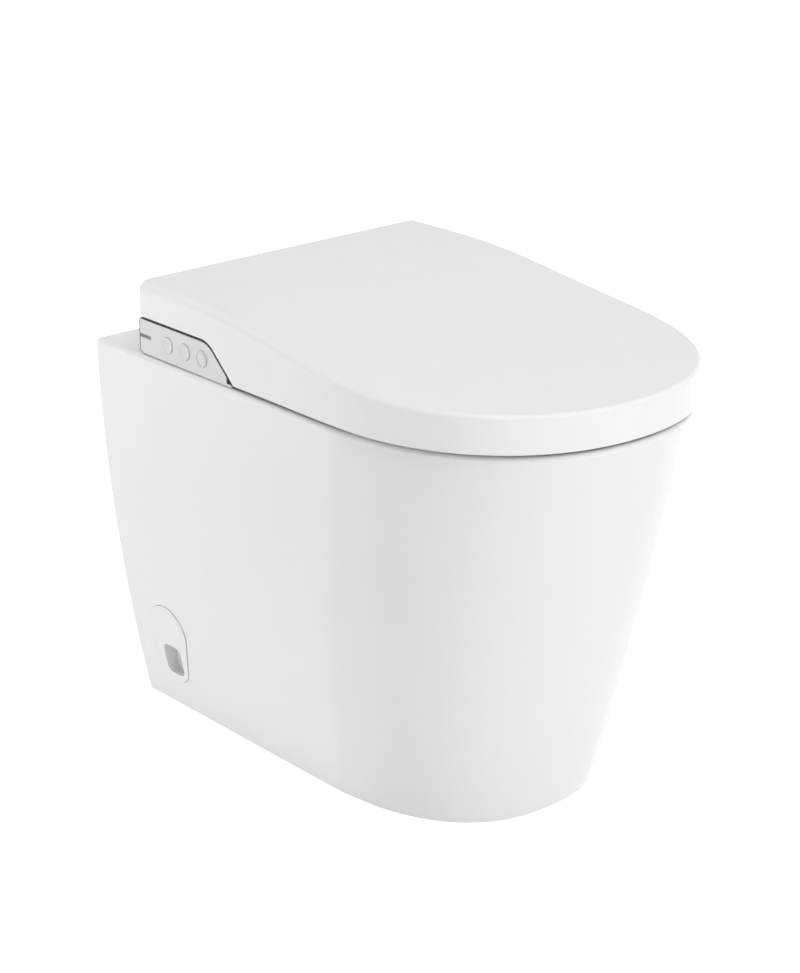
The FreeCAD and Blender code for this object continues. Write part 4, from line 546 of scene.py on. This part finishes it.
# %% [markdown]
# ## Heating foil
# Under the seat's top lies a thin sheet of foil that carries the heating track. It has to follow the
# crown, so it is drawn with the same lines, a wall's thickness lower, and given its own thin wall. Its
# lines are placed in millimetres from the outer edge, as a share of the ring's width where the number
# is below 1, and in millimetres from the hole where it is negative.

# %% Heating foil
FOIL_LINES = [(12, 446.45), (0.3, 446.75), (0.55, 446.45), (-22, 445.65)]
FOIL_START = 300
FOIL_THICK = 0.3


def foil_place(point, row):
    """Where the foil's line of this row crosses the ring."""
    x1, d1 = hole_point(point)
    width = math.hypot(x1 - point[0], d1 - point[1])
    away, z = FOIL_LINES[row]
    if away < 0:
        away += width
    elif away < 1:
        away *= width
    share = away / width
    return point[0] + (x1 - point[0]) * share, point[1] + (d1 - point[1]) * share, z


behind_foil = [i for i, point in enumerate(SEAT_OUTLINE) if point[1] <= FOIL_START]
foil_outline = SEAT_OUTLINE[behind_foil[-1] + 1:] + SEAT_OUTLINE[:behind_foil[0]]
foil = roll_grid("seat_heating_foil", foil_outline, len(FOIL_LINES), foil_place)
settle(foil)
thicken(foil, FOIL_THICK)
put_on(foil, mica, "seat", "heater_parts", "seat_heater")

# %% [markdown]
# ## Lid liner
# The lid is closed below by a liner: a raised rim that carries the pads and, inside a soft step, a
# field that lies a little deeper, which keeps so large a panel stiff and flat. It is drawn with the same
# kind of lines, from its edge to its middle, and then given its wall. Its upright back edge, which
# closes the lid towards the seat unit, comes from a merged copy of the solid, cut off with bisect.

# %% Liner plate
LINER_MIDDLE = (0.0, 420.0)
LINER_OUTLINE = outline(189.6, 191.7, 242.2, 595.3, 4.0)
LINER_FIELD = 454.4
LINER_LINES = [(0, 452.9), (0.6, 452.65), (9, 452.62), (15, 452.7), (16.5, 452.95), (18.5, 453.8),
               (20.5, 454.3), (23, LINER_FIELD), (60, LINER_FIELD), (110, LINER_FIELD), (150, LINER_FIELD)]
LINER_SPREAD = 183.0
LINER_WALL = 2.4
LINER_EDGE_TOP = 455.05
INNER_RING = 60


def liner_place(point, row):
    """Where the liner's line of this row lies inside a point of its outline."""
    away, z = LINER_LINES[row]
    share = away / LINER_SPREAD
    x = point[0] + (LINER_MIDDLE[0] - point[0]) * share
    d = point[1] + (LINER_MIDDLE[1] - point[1]) * share
    return x, d, z


liner = roll_grid("lid_liner", LINER_OUTLINE, len(LINER_LINES), liner_place)
only(liner)
bpy.ops.object.mode_set(mode="EDIT")
bpy.ops.mesh.select_all(action="SELECT")
bpy.ops.mesh.remove_doubles(threshold=0.00002)
middle = mm(LINER_MIDDLE[0], depth(LINER_MIDDLE[1]), LINER_FIELD)
pick(liner, "edges",
     lambda e: e.is_boundary and all((v.co - middle).length < INNER_RING * MM for v in e.verts))
bpy.ops.mesh.edge_face_add()
bpy.ops.object.mode_set(mode="OBJECT")
print("liner plate:", len(liner.data.polygons), "faces")

# %% Liner back edge
settle(liner, 30)
if liner.data.polygons[0].normal.z > 0:
    bpy.ops.object.mode_set(mode="EDIT")
    bpy.ops.mesh.select_all(action="SELECT")
    bpy.ops.mesh.flip_normals()
    bpy.ops.object.mode_set(mode="OBJECT")
thicken(liner, LINER_WALL)
lip = bpy.data.objects.new("liner_lip", nodes["lid_inner_panel"].data.copy())
bpy.context.scene.collection.objects.link(lip)
only(lip)
bpy.ops.object.mode_set(mode="EDIT")
bpy.ops.mesh.select_all(action="SELECT")
bpy.ops.mesh.remove_doubles(threshold=0.00001)
bpy.ops.mesh.select_all(action="SELECT")
bpy.ops.mesh.bisect(plane_co=mm(0, 0, LINER_EDGE_TOP), plane_no=(0, 0, 1), clear_inner=True, use_fill=True)
bpy.ops.object.mode_set(mode="OBJECT")
only(liner)
lip.select_set(True)
bpy.ops.object.join()
bpy.ops.object.shade_smooth_by_angle(angle=math.radians(30))
put_on(liner, lid_gloss, "lid", "lid_plastic", "lid_inner_panel")

# %% [markdown]
# ## Rubber pads
# Pads under the lid and under the seat take the knocks. Each is a moulded rubber button: a thin flange,
# a narrower body and a soft crowned end. One is made from a cylinder by inset, extrude and bevel, and
# copied to its four places, because all four come from one mould.

# %% One pad
PAD_RADIUS = 7.0
PAD_FLANGE = 0.9
PAD_STEP = 1.1
PAD_SOFT = 0.9
PAD_CROWN = 1.6


def rubber_pad(name, place, base, tip):
    """One pad that hangs down from a base height to a tip height."""
    bpy.ops.object.select_all(action="DESELECT")
    bpy.ops.mesh.primitive_cylinder_add(vertices=40, radius=PAD_RADIUS * MM, depth=PAD_FLANGE * MM,
                                        location=mm(place[0], depth(place[1]), base - PAD_FLANGE / 2))
    pad = bpy.context.object
    pad.name = name
    bpy.ops.object.mode_set(mode="EDIT")
    pick(pad, "faces", lambda f: f.normal.z < -0.9)
    bpy.ops.mesh.inset(thickness=PAD_STEP * MM)
    bpy.ops.mesh.extrude_region_move(TRANSFORM_OT_translate={"value": mm(0, 0, tip + PAD_FLANGE - base)})
    bpy.ops.mesh.bevel(offset=PAD_SOFT * MM, segments=4, affect="EDGES")
    pick(pad, "faces", lambda f: f.normal.z < -0.99 and len(f.verts) > 8)
    bpy.ops.mesh.inset(thickness=PAD_CROWN * MM)
    bpy.ops.object.mode_set(mode="OBJECT")
    return settle(pad, 40)


# %% Pads under the lid and under the seat
def pad_set(name, places, base, tip):
    """Four pads as one group."""
    first = rubber_pad(name, places[0], base, tip)
    copies = []
    for place in places[1:]:
        copy = bpy.data.objects.new(name, first.data.copy())
        bpy.context.scene.collection.objects.link(copy)
        copy.location = mm(place[0] - places[0][0], places[0][1] - place[1], 0)
        copies.append(copy)
    only(first)
    for copy in copies:
        copy.select_set(True)
    bpy.ops.object.join()
    return first


lid_pads = pad_set("lid_pads", [(150, 300), (-150, 300), (90, 560), (-90, 560)], 454.5, 450.1)
put_on(lid_pads, rubber, "lid", "rubber_grey", "lid_buffers")
seat_pads = pad_set("seat_pads", [(152, 290), (-152, 290), (84, 566), (-84, 566)], 427.05, 420.8)
put_on(seat_pads, rubber, "seat", "rubber_grey", "seat_buffers")

# %% [markdown]
# ## Push buttons
# The three round buttons stand a hair proud of the side panel. Each has a rounded rim and a shallow
# dish for the fingertip, a flange behind the panel that keeps it in, and a stem that meets its switch.
# A cylinder is laid across, and its two ends are shaped by inset and extrude.

# %% Buttons
BUTTON_PLACES = {"flush_button": 124.0, "wash_button": 152.8, "stop_button": 181.6}
BUTTON_HEIGHT = 439.7
BUTTON_RADIUS = 8.7
BUTTON_PROUD = 1.2
DISH = [(0.5, 0.16), (0.9, 0.14), (1.4, 0.1), (1.9, 0.05)]
RING_AND_DISH = [(0.15, 0.5), (0.6, 0.0), (0.15, -0.45), (0.9, 0.14), (1.4, 0.1), (1.9, 0.05)]
BUTTON_DISHES = {"flush_button": DISH, "wash_button": DISH, "stop_button": RING_AND_DISH}
BUTTON_BEHIND = 3.3
BUTTON_SOFT = 0.45
BUTTON_RIM = 1.1
FLANGE_RADIUS = 10.1
FLANGE_THICK = 1.1
STEM_INSET = 7.5
STEM_END = 185.8
PANEL_REAR = 75.2
PANEL_REAR_X = 190.3
PANEL_LEAN = 4.7 / 317.5


def dished_button(name, d):
    """A push button at a depth, with its dish on the -X side."""
    face = PANEL_REAR_X + (d - PANEL_REAR) * PANEL_LEAN
    outer = face + BUTTON_PROUD
    inner = face - BUTTON_BEHIND
    flange_scale = FLANGE_RADIUS / BUTTON_RADIUS
    bpy.ops.object.select_all(action="DESELECT")
    bpy.ops.mesh.primitive_cylinder_add(vertices=72, radius=BUTTON_RADIUS * MM, depth=(outer - inner) * MM,
                                        location=mm(-(outer + inner) / 2, depth(d), BUTTON_HEIGHT),
                                        rotation=(0, math.radians(90), 0))
    button = bpy.context.object
    button.name = name + "_dished"
    bpy.ops.object.transform_apply(location=False, rotation=True, scale=True)
    bpy.ops.object.mode_set(mode="EDIT")
    pick(button, "faces", lambda f: f.normal.x < -0.9)
    bpy.ops.mesh.bevel(offset=BUTTON_SOFT * MM, segments=3, affect="EDGES")
    pick(button, "faces", lambda f: f.normal.x < -0.99 and len(f.verts) > 8)
    bpy.ops.mesh.inset(thickness=BUTTON_RIM * MM)
    for step, rise in BUTTON_DISHES[name]:
        bpy.ops.mesh.inset(thickness=step * MM, depth=-rise * MM)
    pick(button, "faces", lambda f: f.normal.x > 0.9)
    # An inset of nothing gives the flange faces of its own, which can then be widened.
    bpy.ops.mesh.inset(thickness=0.0)
    bpy.ops.transform.resize(value=(1, flange_scale, flange_scale),
                             center_override=mm(-inner, depth(d), BUTTON_HEIGHT))
    bpy.ops.mesh.extrude_region_move(TRANSFORM_OT_translate={"value": mm(FLANGE_THICK, 0, 0)})
    bpy.ops.mesh.inset(thickness=STEM_INSET * MM)
    stem = inner - FLANGE_THICK - STEM_END
    bpy.ops.mesh.extrude_region_move(TRANSFORM_OT_translate={"value": mm(stem, 0, 0)})
    bpy.ops.object.mode_set(mode="OBJECT")
    return settle(button, 30)


for name, d in BUTTON_PLACES.items():
    put_on(dished_button(name, d), panel_abs, name, "panel_plastic", name)

# %% [markdown]
# ## Painted shade on the rear edge of the side panels
# A thin grey strip of painted shade lies on each side panel's upright back edge, where the edge turns away
# into shade. It follows the edge down and turns with the panel's rounded lower corner. A short bar is laid
# on the edge, and its lower end is carried on round the corner with spin, which keeps the strip's section
# the same all along.

# %% Panel edge strips of painted shade
SHADE_STRIP_WIDE = 1.5
SHADE_STRIP_THICK = 0.6
SHADE_STRIP_PROUD = 0.12
SHADE_STRIP_TOP = 455.4
SHADE_STRIP_SOFT = 0.15
CORNER_RADIUS = 5.0
CORNER_HEIGHT = 426.8
CORNER_STEPS = 8


def panel_edge_shade(name, side):
    """A strip of painted shade on the back edge and the lower rear corner of one side panel."""
    length = SHADE_STRIP_TOP - CORNER_HEIGHT
    x = PANEL_REAR_X + SHADE_STRIP_PROUD - SHADE_STRIP_THICK / 2
    bpy.ops.object.select_all(action="DESELECT")
    bpy.ops.mesh.primitive_cube_add(size=1, location=mm(side * x, depth(PANEL_REAR + SHADE_STRIP_WIDE / 2),
                                                        CORNER_HEIGHT + length / 2))
    shade_strip = bpy.context.object
    shade_strip.name = name
    shade_strip.scale = mm(SHADE_STRIP_THICK, SHADE_STRIP_WIDE, length)
    bpy.ops.object.transform_apply(location=True, rotation=True, scale=True)
    bpy.ops.object.mode_set(mode="EDIT")
    pick(shade_strip, "faces", lambda f: f.normal.z < -0.9)
    bpy.ops.mesh.spin(steps=CORNER_STEPS, angle=math.radians(90), axis=(1, 0, 0),
                      center=mm(0, depth(PANEL_REAR + CORNER_RADIUS), CORNER_HEIGHT))
    bpy.ops.object.mode_set(mode="OBJECT")
    edge = shade_strip.modifiers.new("soft_edge", "BEVEL")
    edge.width = SHADE_STRIP_SOFT * MM
    edge.segments = 2
    edge.limit_method = "ANGLE"
    edge.angle_limit = math.radians(50)
    only(shade_strip)
    bpy.ops.object.modifier_apply(modifier=edge.name)
    return settle(shade_strip, 50)


# Grey strips of painted shade on the rear edges of both side panels.
for name, side in (("control_panel_edge_shade", -1), ("plain_panel_edge_shade", 1)):
    put_on(panel_edge_shade(name, side), painted_edge_shade, "pan", "trim_black")
